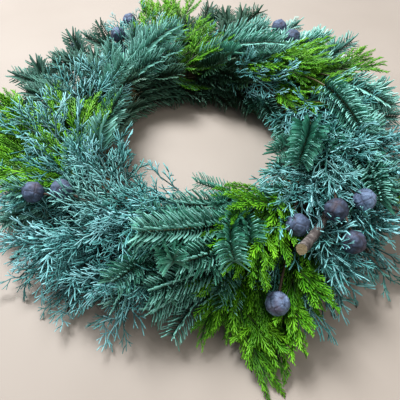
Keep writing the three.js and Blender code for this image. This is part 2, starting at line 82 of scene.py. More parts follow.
def put(tree, kind, wires=(), **settings):
    """Adds a node to a tree. Each wire is a socket's name, and its value or where it comes from."""
    node = tree.nodes.new(kind)
    for name, value in settings.items():
        setattr(node, name, value)
    for name, value in dict(wires).items():
        if isinstance(value, bpy.types.NodeSocket):
            tree.links.new(value, node.inputs[name])
        else:
            node.inputs[name].default_value = value
    return node


def sum_of(tree, value, factor, plus):
    """value times factor, plus another value."""
    return put(tree, "ShaderNodeMath", {0: value, 1: factor, 2: plus}, operation="MULTIPLY_ADD").outputs[0]


def marked(tree, name):
    """What a piece's mesh has stored under that name."""
    return put(tree, "ShaderNodeAttribute", attribute_name=name).outputs["Fac"]


def mottle(tree, scale, detail=3.0, rough=0.55):
    """Noise that stands still on the object, with spots of about 1/scale metres."""
    place = put(tree, "ShaderNodeTexCoord").outputs["Object"]
    wires = {"Vector": place, "Scale": scale, "Detail": detail, "Roughness": rough}
    return put(tree, "ShaderNodeTexNoise", wires).outputs["Fac"]


def uneven(tree, by_piece, scale, by_place, plus):
    """A tone that varies from one stalk, needle or thread to the next, and from place to place."""
    return sum_of(tree, marked(tree, "shade"), by_piece, sum_of(tree, mottle(tree, scale), by_place, plus))


def ramp(tree, value, *stops):
    """Colours along a value. Each stop has its place from 0 to 1, then its colour as daylight takes it."""
    node = put(tree, "ShaderNodeValToRGB", {0: value})
    marks = node.color_ramp.elements
    while len(marks) < len(stops):
        marks.new(0.5)
    for mark, (place, *colour) in zip(marks, stops):
        mark.position = place
        mark.color = daylight(*colour)
    return node.outputs[0]


def finish_named(name, roughness, specular=0.5):
    """A new material, its tree and its shader."""
    material = bpy.data.materials.new(name)
    material.use_nodes = True
    tree = material.node_tree
    shader = tree.nodes["Principled BSDF"]
    shader.inputs["Roughness"].default_value = roughness
    shader.inputs["Specular IOR Level"].default_value = specular
    return material, tree, shader


def dress(tree, shader, colour, height, strength, distance):
    """Gives a shader its colour, and bumps from a height in the tree."""
    tree.links.new(colour, shader.inputs["Base Color"])
    bump = put(tree, "ShaderNodeBump", {"Height": height, "Strength": strength, "Distance": distance})
    tree.links.new(bump.outputs[0], shader.inputs["Normal"])


def mesh_of(name, corners, faces, smooth=True, **marks):
    """A mesh from corners in metres, with values stored on its corners."""
    mesh = bpy.data.meshes.new(name)
    mesh.from_pydata([tuple(corner) for corner in corners], [], [tuple(face) for face in faces])
    for label, values in marks.items():
        mesh.attributes.new(label, "FLOAT", "POINT").data.foreach_set("value", np.array(values, np.float32))
    if smooth:
        mesh.shade_smooth()
    return mesh


def object_of(mesh, material=None):
    """The object of a mesh, shown in the scene."""
    piece = bpy.data.objects.new(mesh.name, mesh)
    bpy.context.scene.collection.objects.link(piece)
    if material:
        mesh.materials.append(material)
    return piece


def rides(piece, slot, *nodes):
    """Sets a finished piece on the wreath in place of its plain solids."""
    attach(piece, "root")
    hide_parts(*nodes)


# Each draw is the last one times the first of these, plus the second, within the third.
DRAW_FACTOR, DRAW_STEP, DRAW_SPAN = 1664525, 1013904223, 2 ** 32
SEED_FACTOR, SEED_STEP = 7919, 12345


def drawer(seed):
    """A seeded draw between -1 and 1, so that every build is the same."""
    state = [(seed * SEED_FACTOR + SEED_STEP) % DRAW_SPAN]

    def draw():
        state[0] = (state[0] * DRAW_FACTOR + DRAW_STEP) % DRAW_SPAN
        return state[0] / DRAW_SPAN * 2 - 1

    return draw


def polar(azimuth, radius, height):
    angle = math.radians(azimuth)
    return np.array([radius * math.cos(angle), radius * math.sin(angle), height])


def tube_point(azimuth, tube_angle, distance):
    """A point round the tube of the ring. Tube angle 0 is the outer side and 90 the top."""
    angle = math.radians(tube_angle)
    return polar(azimuth, RING_RADIUS + distance * math.cos(angle), TUBE_RADIUS + distance * math.sin(angle))


STRAW_CORE = 19.0
STRAW_LAYER = 19.4
STRAW_UNEVEN = 0.35
STRAW_LENGTH = 46
STRAW_LENGTH_VARIES = 0.25
STRAW_WIDTH = 1.3
STRAW_THICK = 0.5
STRAW_END_DIP = 0.9
STRAW_SPACING = 5.6
STRAW_SLANT = 9
STRAW_STEPS = 4
STRAW_SEED = 901
# These steps in degrees spread the stalks evenly round the ring and round its tube.
RING_STEP = 137.508 * 1.618
TUBE_STEP = 222.49
RING_SECTIONS = 144
TUBE_SECTIONS = 28
# The straw core shows only between the stalks and is darker than most of them: painted shade between the
# stalks.
CORE_PAINTED_SHADE = 0.25

straw, straw_tree, straw_shader = finish_named("straw", 0.62)
straw_tone = uneven(straw_tree, 0.6, 140, 0.5, 0)
straw_colour = ramp(straw_tree, straw_tone, (0.15, 66, 54, 34), (0.5, 122, 102, 66), (0.9, 168, 148, 106))
dress(straw_tree, straw_shader, straw_colour, mottle(straw_tree, 900), 0.4, 0.0004)

ring_corners = [
    in_place(tube_point(i * 360 / RING_SECTIONS, j * 360 / TUBE_SECTIONS, STRAW_CORE))
    for i in range(RING_SECTIONS) for j in range(TUBE_SECTIONS)
]
ring_faces = [
    (
        i * TUBE_SECTIONS + j,
        (i + 1) % RING_SECTIONS * TUBE_SECTIONS + j,
        (i + 1) % RING_SECTIONS * TUBE_SECTIONS + (j + 1) % TUBE_SECTIONS,
        i * TUBE_SECTIONS + (j + 1) % TUBE_SECTIONS,
    )
    for i in range(RING_SECTIONS) for j in range(TUBE_SECTIONS)
]
# Painted shade: the core is darker where it shows between the stalks.
ring_marks = [CORE_PAINTED_SHADE] * len(ring_corners)
layer_area = 2 * math.pi * RING_RADIUS * 2 * math.pi * STRAW_LAYER
stalk_draw = drawer(STRAW_SEED)
for k in range(2 * int(layer_area / (STRAW_LENGTH * STRAW_SPACING))):
    azimuth = k * RING_STEP % 360
    tube_angle = (k * TUBE_STEP + STRAW_SLANT * stalk_draw()) % 360
    length = STRAW_LENGTH * (1 + STRAW_LENGTH_VARIES * stalk_draw())
    slant = STRAW_SLANT * stalk_draw()
    level = STRAW_LAYER + STRAW_UNEVEN * stalk_draw()
    shade = 0.5 + 0.5 * stalk_draw()
    first = len(ring_corners)
    for step in range(STRAW_STEPS + 1):
        along = (step / STRAW_STEPS - 0.5) * length
        turned = math.degrees(along / RING_RADIUS)
        middle_angle = tube_angle + slant * along / length
        dip = STRAW_END_DIP if step in (0, STRAW_STEPS) else 0
        for side in (-1, 0, 1):
            width = math.degrees(STRAW_WIDTH * 0.5 / STRAW_LAYER) * side
            lift = level - dip - (STRAW_THICK if side else 0)
            ring_corners.append(in_place(tube_point(azimuth + turned, middle_angle + width, lift)))
            ring_marks.append(shade)
    for step in range(STRAW_STEPS):
        a = first + step * 3
        ring_faces += [(a, a + 3, a + 4, a + 1), (a + 1, a + 4, a + 5, a + 2), (a + 2, a + 5, a + 3, a)]
    last = first + STRAW_STEPS * 3
    ring_faces += [(first, first + 1, first + 2), (last + 2, last + 1, last)]
ring_corners = [(x, y, max(z, 0.0)) for x, y, z in ring_corners]
straw_ring = object_of(mesh_of("straw_bundle", ring_corners, ring_faces, shade=ring_marks), straw)
rides(straw_ring, "straw", "straw_ring")


# Binding wire: thin green-lacquered iron wire, one length wound round the ring in one direction.
# Each turn holds the cut ends of the stems laid under it.
WIRE_TURNS = 16
TURN_ANGLE = 360 / WIRE_TURNS
WIRE_STEPS = 8
WIRE_SIDES = 6
WIRE_RADIUS = 0.7
WIRE_LIFTED = 26.5
# Under the ring, where the sine of the tube angle is below this, the wire is pulled tight.
WIRE_TIGHT = 20.6
WIRE_TIGHT_BELOW = -0.8
CURVE_STEPS = 3
# The lowest that the wire and the foliage come, above the surface that the wreath lies on.
WIRE_LOWEST = 0.67
FOLIAGE_LOWEST = 0.4


def keep_above(mesh, lowest):
    """Bends what is lower than this height up to it."""
    for corner in mesh.vertices:
        corner.co.z = max(corner.co.z, lowest * 0.001)


def grow(piece, tree, **values):
    """Runs a tree of geometry nodes on a piece. The result is kept as its plain mesh, off the floor."""
    growth = piece.modifiers.new("growth", "NODES")
    growth.node_group = tree
    for item in tree.interface.items_tree:
        if item.in_out == "INPUT" and item.name in values:
            growth[item.identifier] = values[item.name]
    graph = bpy.context.evaluated_depsgraph_get()
    mesh = bpy.data.meshes.new_from_object(piece.evaluated_get(graph))
    piece.modifiers.clear()
    piece.data = mesh
    mesh.name = piece.name
    keep_above(mesh, FOLIAGE_LOWEST)
    return piece


def tree_with(name, **inputs):
    """A new tree of geometry nodes with named inputs: its group input node, and its last node."""
    tree = bpy.data.node_groups.new(name, "GeometryNodeTree")
    tree.interface.new_socket("Geometry", in_out="INPUT", socket_type="NodeSocketGeometry")
    tree.interface.new_socket("Geometry", in_out="OUTPUT", socket_type="NodeSocketGeometry")
    for label, kind in inputs.items():
        tree.interface.new_socket(label, in_out="INPUT", socket_type=f"NodeSocket{kind}")
    return tree, put(tree, "NodeGroupInput").outputs, put(tree, "NodeGroupOutput").inputs[0]


def smooth_curves(tree, lines):
    """A mesh of bare lines as smooth curves through its corners."""
    curves = put(tree, "GeometryNodeMeshToCurve", {"Mesh": lines}).outputs[0]
    curves = put(tree, "GeometryNodeCurveSplineType", {"Curve": curves}, spline_type="CATMULL_ROM").outputs[0]
    wires = {"Geometry": curves, "Resolution": CURVE_STEPS}
    return put(tree, "GeometryNodeSetSplineResolution", wires).outputs[0]


def round_tubes(tree, curves, sides, radius, **more):
    """Closed round tubes along curves."""
    wires = {"Resolution": sides, "Radius": radius}
    profile = put(tree, "GeometryNodeCurvePrimitiveCircle", wires).outputs[0]
    wires = {"Curve": curves, "Profile Curve": profile, "Fill Caps": True, **more}
    return put(tree, "GeometryNodeCurveToMesh", wires).outputs[0]


def end_tree(tree, geometry, material, result):
    """Ends a tree of geometry nodes, with every copy made real and one material set."""
    whole = put(tree, "GeometryNodeRealizeInstances", {"Geometry": geometry}).outputs[0]
    done = put(tree, "GeometryNodeSetMaterial", {"Geometry": whole, "Material": material})
    tree.links.new(done.outputs[0], result)


wire_points = []
for m in range(-1, WIRE_TURNS * WIRE_STEPS - 2):
    tube_angle = (m + 0.5) * 360 / WIRE_STEPS
    is_tight = math.sin(math.radians(tube_angle)) < WIRE_TIGHT_BELOW
    distance = WIRE_TIGHT if is_tight else WIRE_LIFTED
    wire_points.append(tube_point(tube_angle / 360 * TURN_ANGLE, tube_angle, distance))
wire_points = np.array(wire_points)

wire, wire_tree, wire_shader = finish_named("wire", 0.34)
wire_shader.inputs["Metallic"].default_value = 0.5
wire_colour = ramp(
    wire_tree, mottle(wire_tree, 220),
    (0.35, 24, 44, 30), (0.62, 44, 74, 50), (0.72, 84, 76, 62),
)
dress(wire_tree, wire_shader, wire_colour, mottle(wire_tree, 1400), 0.2, 0.0002)

wire_growth, given, result = tree_with("round wire", Thickness="Float", Material="Material")
wire_curve = smooth_curves(wire_growth, given["Geometry"])
wire_tube = round_tubes(wire_growth, wire_curve, WIRE_SIDES, given["Thickness"])
end_tree(wire_growth, wire_tube, given["Material"], result)

wire_line = bpy.data.meshes.new("wire_turns")
wire_line.from_pydata(in_place(wire_points).tolist(), [(i, i + 1) for i in range(len(wire_points) - 1)], [])
wire_turns = grow(object_of(wire_line), wire_growth, Thickness=WIRE_RADIUS * 0.001, Material=wire)
keep_above(wire_turns.data, WIRE_LOWEST)
rides(wire_turns, "wire", "binding_wire")


# Room round the stems: each stem is laid under one turn of wire and bent in one sweep to its tip.
# It is laid where it is clear of what is there already, so every line is kept with its thickness.
TUBE_SIDES = 8
SIDE_ANGLE = 360 / TUBE_SIDES
TUBE_CORNER = TUBE_RADIUS / math.cos(math.pi / TUBE_SIDES)
STEM_RADIUS = 1.5
SHOOT_RADIUS = 1.2
# A stem is bound from this far behind its turn of wire to this far ahead of it.
SEAT_GAP = 0.4
SEAT_BEHIND = 7
SEAT_AHEAD = 5
# Shares of a stem's reach that it keeps straight on, and rises, before it bends to its tip.
STEM_ONWARD = 0.42
STEM_RISE = 0.06
BOUND_STEPS = 3
FREE_STEPS = 7
# Gaps to other lines, where stems are free and where they are bound, and to the floor.
SKELETON_GAP = 1.3
BOUND_GAP = 0.3
FLOOR_GAP = 0.5
HOLE_RADIUS = 84
OUTER_LIMIT = 268
# Where a stem is not clear, its tip is turned, raised and arched by these, in this order.
TRIES = [
    (turn_by, raise_by, lift)
    for lift in (9, 14, 5) for raise_by in (0, 5, -5, 10, -10) for turn_by in (0, 2.5, -2.5, 5, -5)
]
room = {"starts": [], "ends": [], "radii": [], "owners": []}


def keep_room(points, radii, owner):
    """Keeps a line of points as taken, each step with its thickness."""
    for start, end, radius in zip(points, points[1:], radii):
        room["starts"].append(start)
        room["ends"].append(end)
        room["radii"].append(radius)
        room["owners"].append(owner)


def is_free(start, end, radius, owner, gap):
    """Whether a straight line keeps a gap to every line of other owners."""
    starts, ends = np.array(room["starts"]), np.array(room["ends"])
    others = np.array(room["owners"]) != owner
    starts, ends, radii = starts[others], ends[others], np.array(room["radii"])[others]
    line, lines, apart = end - start, ends - starts, start - starts
    # The nearest points of two lines lie at shares s and t of their lengths.
    a, e = line @ line, np.maximum((lines * lines).sum(1), 1e-12)
    b, c, f = lines @ line, apart @ line, (lines * apart).sum(1)
    below = a * e - b * b
    s = np.clip(np.where(below > 1e-9, (b * f - c * e) / np.where(below > 1e-9, below, 1), 0), 0, 1)
    t = (b * s + f) / e
    s = np.where(t < 0, np.clip(-c / a, 0, 1), np.where(t > 1, np.clip((b - c) / a, 0, 1), s))
    t = np.clip(t, 0, 1)
    nearest = apart + s[:, None] * line - t[:, None] * lines
    return bool((np.sqrt((nearest * nearest).sum(1)) - radii - radius > gap).all())


def is_in_bounds(start, end, radius, checks_ring):
    """Whether a line stays above the floor, outside the hole, off the ring and within the wreath."""
    for t in (0.1, 0.4, 0.7, 1):
        point = start + (end - start) * t
        from_axis = math.hypot(point[0], point[1])
        from_tube = math.hypot(from_axis - RING_RADIUS, point[2] - TUBE_RADIUS)
        is_low = point[2] <= radius + FLOOR_GAP
        is_out = from_axis <= HOLE_RADIUS + radius or from_axis >= OUTER_LIMIT
        if is_low or is_out or (checks_ring and from_tube <= TUBE_CORNER + radius + SEAT_GAP):
            return False
    return True


def unit(vector):
    return vector / math.sqrt(vector @ vector)


def stem_path(turn, tube_angle, tip, lift):
    """A stem's points: three where it is bound to the ring, then its sweep to the tip."""
    from_flat = math.radians((tube_angle + 360 + SIDE_ANGLE / 2) % SIDE_ANGLE - SIDE_ANGLE / 2)
    distance = TUBE_RADIUS / math.cos(from_flat) + SEAT_GAP + STEM_RADIUS
    crossing = (turn + tube_angle / 360) * TURN_ANGLE
    bound = [tube_point(crossing + step, tube_angle, distance) for step in (SEAT_BEHIND, 0, -SEAT_AHEAD)]
    onward = unit(bound[2] - bound[1])
    outward = unit(bound[1] - tube_point(crossing, tube_angle, 0))
    reach = math.dist(bound[2], tip)
    bend = bound[2] + onward * reach * STEM_ONWARD + outward * (lift + reach * STEM_RISE)
    steps = [k / (FREE_STEPS + 1) for k in range(1, FREE_STEPS + 2)]
    return bound + [bound[2] * (1 - t) ** 2 + bend * 2 * t * (1 - t) + tip * t * t for t in steps]


def radii_of(radius):
    """The thickness of each step of a stem, which is a plain stem's where it is bound."""
    return [STEM_RADIUS] * BOUND_STEPS + [radius] * FREE_STEPS


def clear_stem(turn, tube_angle, tip, radius, owner, tries):
    """The first path clear of what is placed, with its tip moved a little where it must be."""
    radii = radii_of(radius)
    gaps = [BOUND_GAP] * (BOUND_STEPS - 1) + [SKELETON_GAP] * (FREE_STEPS + 1)
    for turn_by, raise_by, lift in tries:
        path = stem_path(turn, tube_angle, polar(tip[0] + turn_by, tip[1], tip[2] + raise_by), lift)
        if all(
            is_in_bounds(path[i], path[i + 1], radii[i], i >= BOUND_STEPS)
            and is_free(path[i], path[i + 1], radii[i], owner, gaps[i])
            for i in range(len(radii))
        ):
            return path
    raise ValueError(f"no way for {owner}")


# Places of the cones, berries and the cut twig, which keep their room before the sprays.
# A bunch has the turn and tube angle of its seat, then the azimuth, radius and height of each.
CONE_RADIUS = 9.8
CONE_BUNCHES = [
    (6, 67, [(124, 198, 56), (115, 244, 46)]),
    (7, 45, [(137, 230, 40)]),
    (3, 45, [(51, 190, 62), (59, 206, 60)]),
    (15, 66, [(319, 190, 64), (308, 182, 74), (307, 208, 60)]),
    (14, 67, [(298, 172, 64)]),
    (14, 22, [(286, 219, 40)]),
    (11, 67, [(216, 189, 58), (221, 168, 60)]),
]
BERRY_RADIUS = 3.4
BERRY_SPRIG = (1, 98, [(358, 147, 68), (2, 152, 66), (1, 142, 70)])
CUT_TWIG = (15, 30, (293, 197, 74))
TWIG_RADIUS = 4.8
STALK_LIFTS = [(0, 0, lift) for lift in (5, 9, 14, 20, 2, -3)]
# A cone or berry keeps this many times its own radius free, and forks leave a stalk at this point.
FRUIT_ROOM = 1.08
FORK_AT = 6


def azimuth_of(point):
    return math.degrees(math.atan2(point[1], point[0])) % 360


keep_room(wire_points, [WIRE_RADIUS] * len(wire_points), "wire")
bunches = [
    {"turn": turn, "tube_angle": tube_angle, "middles": [polar(*place) for place in places], "radius": radius}
    for radius, group in ((CONE_RADIUS, CONE_BUNCHES), (BERRY_RADIUS, [BERRY_SPRIG]))
    for turn, tube_angle, places in group
]
for k, bunch in enumerate(bunches):
    for middle in bunch["middles"]:
        keep_room([middle, middle], [bunch["radius"] * FRUIT_ROOM], f"bunch_{k}")
for k, bunch in enumerate(bunches):
    first = bunch["middles"][0]
    tip = (azimuth_of(first), math.hypot(first[0], first[1]), first[2])
    stalk = clear_stem(bunch["turn"], bunch["tube_angle"], tip, STEM_RADIUS, f"bunch_{k}", STALK_LIFTS)
    bunch["stalk"] = stalk
    bunch["forks"] = [[stalk[FORK_AT], middle] for middle in bunch["middles"][1:]]
    for line in [stalk, *bunch["forks"]]:
        keep_room(line, [STEM_RADIUS] * len(line), f"bunch_{k}")
twig_path = clear_stem(*CUT_TWIG, TWIG_RADIUS, "twig", TRIES)
keep_room(twig_path, radii_of(TWIG_RADIUS), "twig")


# Sprays of foliage in order round the ring against the clock, and the side shoots of each.
# Each has its kind, the turn and tube angle of its seat, then the azimuth, radius and height of its tip.
SPRAYS = [
    ("fir", 0, 90, 345, 178, 66), ("fir", 0, 135, 322, 126, 62), ("blue", 0, 45, 341, 220, 34),
    ("green", 0, 0, 337, 240, 24), ("fir", 1, 62, 8, 228, 44), ("blue", 1, 135, 350, 112, 48),
    ("green", 2, 90, 24, 212, 60), ("green", 2, 135, 14, 142, 62), ("fir", 2, 45, 42, 248, 40),
    ("blue", 3, 135, 28, 96, 50), ("fir", 3, 90, 52, 240, 52), ("fir", 4, 135, 62, 106, 52),
    ("fir", 4, 45, 76, 260, 44), ("green", 5, 45, 98, 260, 46), ("green", 5, 135, 84, 134, 62),
    ("fir", 6, 90, 100, 142, 75), ("fir", 6, 135, 106, 104, 54), ("blue", 6, 45, 116, 232, 42),
    ("fir", 6, 0, 129, 264, 28), ("fir", 7, 90, 146, 228, 46), ("blue", 8, 90, 156, 126, 60),
    ("fir", 8, 135, 166, 98, 42), ("fir", 8, 45, 156, 246, 34), ("fir", 8, 0, 166, 242, 24),
    ("green", 9, 90, 174, 122, 60), ("green", 9, 45, 182, 224, 46), ("blue", 9, 0, 178, 236, 22),
    ("blue", 10, 135, 206, 116, 54), ("fir", 10, 45, 206, 198, 50), ("fir", 10, 0, 210, 236, 16),
    ("blue", 11, 90, 214, 120, 62), ("blue", 11, 45, 227, 238, 15), ("blue", 11, 0, 238, 236, 10),
    ("blue", 12, 90, 241, 170, 66), ("blue", 12, 135, 246, 122, 50), ("fir", 12, 45, 264, 196, 78),
    ("blue", 12, 0, 249, 230, 10), ("fir", 13, 45, 254, 174, 76), ("fir", 13, 90, 277, 198, 81),
    ("fir", 13, 135, 276, 128, 58), ("fir", 13, 0, 264, 228, 14), ("green", 13, 22, 281, 260, 8),
    ("green", 14, 135, 280, 148, 68), ("green", 14, 90, 279, 186, 60), ("blue", 14, 45, 297, 228, 14),
    ("green", 14, 0, 284, 252, 8), ("blue", 15, 90, 300, 148, 66), ("fir", 15, 45, 323, 208, 50),
    ("blue", 15, 0, 314, 244, 12),
]
# Short sprays tucked in low at the sides of the ring, so that no straw shows. Laid out as the sprays.
TUCKED = [
    ("fir", 2, 180, 20, 96, 20), ("fir", 3, 180, 42, 86, 12), ("fir", 4, 180, 63, 82, 10),
    ("fir", 5, 180, 86, 83, 12), ("fir", 6, 180, 108, 94, 14), ("fir", 7, 180, 131, 101, 10),
    ("fir", 8, 180, 152, 103, 14), ("blue", 9, 180, 176, 106, 16), ("blue", 10, 180, 198, 109, 12),
    ("blue", 11, 180, 221, 109, 10), ("fir", 12, 180, 244, 106, 10), ("fir", 13, 180, 266, 106, 10),
    ("fir", 14, 180, 289, 104, 12), ("blue", 15, 180, 311, 104, 12), ("blue", 0, 180, 334, 102, 12),
    ("fir", 1, 180, 356, 97, 16), ("fir", 4, 158, 66, 90, 34), ("fir", 6, 158, 112, 98, 30),
    ("fir", 7, 120, 130, 106, 50), ("blue", 9, 120, 186, 116, 48), ("blue", 11, 120, 232, 118, 46),
    ("fir", 13, 112, 258, 122, 52), ("blue", 15, 112, 306, 124, 52), ("blue", 0, 120, 334, 118, 48),
    ("fir", 6, 75, 112, 176, 62), ("fir", 7, 100, 122, 140, 60), ("green", 3, 75, 37, 164, 66),
    ("fir", 1, 0, 346, 208, 16), ("blue", 2, 0, 8, 212, 16), ("fir", 3, 0, 32, 222, 14),
    ("fir", 4, 0, 54, 226, 14), ("blue", 5, 0, 77, 226, 14), ("fir", 7, 0, 122, 226, 14),
    ("fir", 1, 30, 4, 224, 40), ("fir", 3, 22, 46, 228, 30), ("fir", 4, 30, 57, 254, 44),
    ("fir", 5, 22, 87, 254, 48), ("fir", 6, 22, 110, 226, 30), ("fir", 8, 22, 151, 240, 34),
    ("blue", 9, 22, 190, 206, 24), ("blue", 10, 22, 204, 214, 22), ("blue", 11, 22, 222, 226, 12),
    ("blue", 12, 22, 240, 222, 14), ("fir", 12, 45, 250, 216, 18), ("fir", 12, 22, 262, 208, 40),
    ("fir", 13, 22, 259, 215, 24), ("fir", 14, 0, 270, 200, 16), ("green", 13, 12, 281, 224, 18),
    ("blue", 10, 80, 187, 166, 68), ("green", 10, 22, 193, 222, 42), ("green", 14, 45, 291, 222, 24),
    ("blue", 15, 22, 306, 224, 14), ("blue", 0, 22, 326, 216, 18), ("fir", 0, 22, 336, 206, 18),
    ("green", 6, 45, 103, 262, 50), ("green", 9, 67, 177, 226, 48), ("green", 10, 45, 187, 220, 52),
    ("fir", 15, 158, 318, 98, 30), ("blue", 0, 75, 306, 142, 62), ("blue", 1, 100, 318, 150, 74),
    ("green", 3, 100, 27, 146, 77), ("fir", 14, 90, 292, 140, 50), ("green", 10, 67, 205, 200, 60),
    ("fir", 8, 45, 158, 252, 40),
]
TUCKED_ARCH = 3
# Single fir brushes laid over the rest, with their stems tucked through to the ring.
# They are laid out as the sprays, and each ends with how far its stem arches up.
BRUSHES = [
    (13, 67, 254, 176, 80, 26), (13, 45, 265, 192, 70, 26), (13, 22, 259, 206, 46, 16),
    (13, 0, 260, 211, 22, 10), (6, 90, 103, 141, 82, 26), (4, 67, 61, 178, 70, 16),
    (4, 90, 48, 146, 76, 20), (4, 112, 68, 102, 72, 14), (6, 112, 118, 106, 62, 14),
    (2, 90, 345, 162, 76, 32), (2, 67, 5, 208, 58, 26), (0, 112, 315, 126, 77, 34),
    (9, 120, 188, 104, 56, 16), (0, 45, 322, 202, 60, 24), (10, 22, 212, 224, 22, 8),
]
# Thin green fronds that hang clear of the others, laid out as the brushes.
FRONDS = [(13, 22, 270, 230, 12, 10), (13, 22, 276, 226, 16, 12)]
# The first seeds of the tucked sprays, brushes and fronds, which tell them apart later.
TUCKED_SEED = 101
BRUSH_SEED = 201
FROND_SEED = 301
# On the near side, stems bound to the inner side bear nothing up to this share of their length.
# What they bear further on is smaller by NEAR_SIZE.
NEAR_FROM, NEAR_TO, NEAR_BARE, NEAR_SIZE = 235, 315, 0.45, 0.78
# A spray's main side shoots: place along its stem, side, pitch and length.
MAIN_SHOOTS = {
    "fir": [(0.4, 1, 4, 46), (0.52, -1, -4, 42)],
    "blue": [(0.36, 1, 14, 44), (0.5, -1, -4, 44), (0.7, 1, 8, 34)],
    "green": [(0.36, 1, 2, 50), (0.48, -1, -2, 44)],
}
SHOOT_SPREAD, SHOOT_SPREAD_VARIES, SHOOT_LENGTH_VARIES = 40, 6, 0.08
SHOOT_TRIES = [(share, pitch_by) for share in (1, 0.8, 0.6) for pitch_by in (0, 14, -14, 28, -28, 42)]


def length_of(points):
    return sum(math.dist(before, after) for before, after in zip(points, points[1:]))


def point_along(points, distance):
    """Place, direction, side and upright of a line at a distance along it."""
    left = distance
    for i in range(1, len(points)):
        step = math.dist(points[i], points[i - 1])
        if left <= step or i == len(points) - 1:
            onward = unit(points[i] - points[i - 1])
            upright = unit(np.array([0, 0, 1]) - onward * onward[2])
            return points[i - 1] + onward * left, onward, np.cross(upright, onward), upright
        left -= step


def shoot_path(stem, place, side, pitch, length, spread):
    """A side shoot's line, bent a little forward, from a place on its stem."""
    start, onward, sideways, upright = point_along(stem, length_of(stem) * place)
    angle, rise = math.radians(spread), math.radians(pitch)
    out = onward * math.cos(angle) + sideways * side * math.sin(angle) * math.cos(rise)
    out = out + upright * math.sin(rise)
    middle = start + out * length * 0.5
    return [start, middle, middle + unit(out * 0.7 + onward * 0.3) * length * 0.5]


sprays = []
for k, (kind, turn, tube_angle, azimuth, radius, height) in enumerate(SPRAYS):
    owner = f"spray_{k}"
    stem = clear_stem(turn, tube_angle, (azimuth, radius, height), STEM_RADIUS, owner, TRIES)
    keep_room(stem, radii_of(STEM_RADIUS), owner)
    sprays.append({"kind": kind, "stem": stem, "shoots": [], "owner": owner, "seed": k + 1})
    if tube_angle > 90 and NEAR_FROM < azimuth < NEAR_TO:
        sprays[-1].update(bare=NEAR_BARE, size=NEAR_SIZE)
lesser_sprays = [
    (TUCKED_SEED, [(*row, TUCKED_ARCH) for row in TUCKED]),
    (BRUSH_SEED, [("fir", *row) for row in BRUSHES]),
    (FROND_SEED, [("green", *row) for row in FRONDS]),
]
for first_seed, rows in lesser_sprays:
    for k, (kind, turn, tube_angle, azimuth, radius, height, arch) in enumerate(rows):
        stem = stem_path(turn, tube_angle, polar(azimuth, radius, height), arch)
        sprays.append({"kind": kind, "stem": stem, "shoots": [], "seed": first_seed + k})
for spray in sprays[:len(SPRAYS)]:
    draw = drawer(spray["seed"])
    for place, side, pitch, length in MAIN_SHOOTS[spray["kind"]]:
        spread = SHOOT_SPREAD + SHOOT_SPREAD_VARIES * draw()
        full = length * (1 + SHOOT_LENGTH_VARIES * draw())
        for share, pitch_by in SHOOT_TRIES:
            path = shoot_path(spray["stem"], place, side, pitch + pitch_by, full * share, spread)
            if all(
                is_in_bounds(path[i], path[i + 1], SHOOT_RADIUS, True)
                and is_free(path[i], path[i + 1], SHOOT_RADIUS, spray["owner"], SKELETON_GAP)
                for i in range(2)
            ):
                spray["shoots"].append((place, side, path))
                keep_room(path, [SHOOT_RADIUS] * 2, spray["owner"])
                break


# How far the foliage reaches outwards and how near it comes to the middle, by azimuth.
OUTER_REACH = [
    (0, 232), (15, 240), (30, 252), (45, 264), (98, 268), (108, 256), (122, 266), (135, 268),
    (150, 254), (165, 246), (180, 236), (195, 228), (210, 230), (225, 240), (240, 240), (252, 228),
    (270, 223), (278, 246), (286, 270), (294, 246), (304, 236), (315, 246), (330, 230), (345, 226),
]
INNER_REACH = [
    (0, 88), (30, 86), (50, 74), (95, 70), (115, 84), (140, 94), (170, 96), (195, 96), (225, 92), (260, 94),
    (320, 96), (345, 92),
]
# On the near side the hole widens upwards, so that the camera sees into it.
INNER_SLOPE = [
    (0, 0.1), (40, 0), (140, 0), (190, 0.2), (220, 0.5), (240, 0.8), (290, 0.9), (320, 0.6), (345, 0.2),
]
TOP_REACH = 92
# What a shoot bears stands up by this share of how far it reaches sideways.
UPWARD_SHARE = 0.8
LOWEST_TWIG = 4
TWIG_TO_RING = 1


def reach_at(azimuth, table):
    return np.interp(azimuth, [place for place, _ in table], [reach for _, reach in table], period=360)


def has_room(path, bearing):
    """Whether a side shoot, with what it bears, keeps within the wreath and off the ring."""
    for point in (path[1] * 0.5 + path[0] * 0.5, path[1], path[2]):
        azimuth = azimuth_of(point)
        from_axis = math.hypot(point[0], point[1])
        from_tube = math.hypot(from_axis - RING_RADIUS, point[2] - TUBE_RADIUS)
        is_high = point[2] > TOP_REACH - bearing * UPWARD_SHARE
        is_out = from_axis > reach_at(azimuth, OUTER_REACH) - bearing
        widening = reach_at(azimuth, INNER_SLOPE) * max(0, point[2] - TUBE_RADIUS)
        is_in = from_axis < reach_at(azimuth, INNER_REACH) + widening + bearing
        is_low = point[2] < LOWEST_TWIG or from_tube < TUBE_CORNER + TWIG_TO_RING
        if is_high or is_out or is_in or is_low:
            return False
    return True


# What is added to a spray's seed, so that its twigs and its colour have draws of their own.
TWIG_DRAW = 500
TONE_DRAW = 700
TWIG_TRIES = [(share, pitch_by) for share in (1, 0.75, 0.5) for pitch_by in (0, 16, -16, 34, 52)]
TWIG_PLACE_VARIES, TWIG_LENGTH_VARIES, TWIG_ANGLE_VARIES = 0.4, 0.18, 8
# Shoots on one side of a stem keep at least this share of a step apart.
TWIGS_APART = 0.6


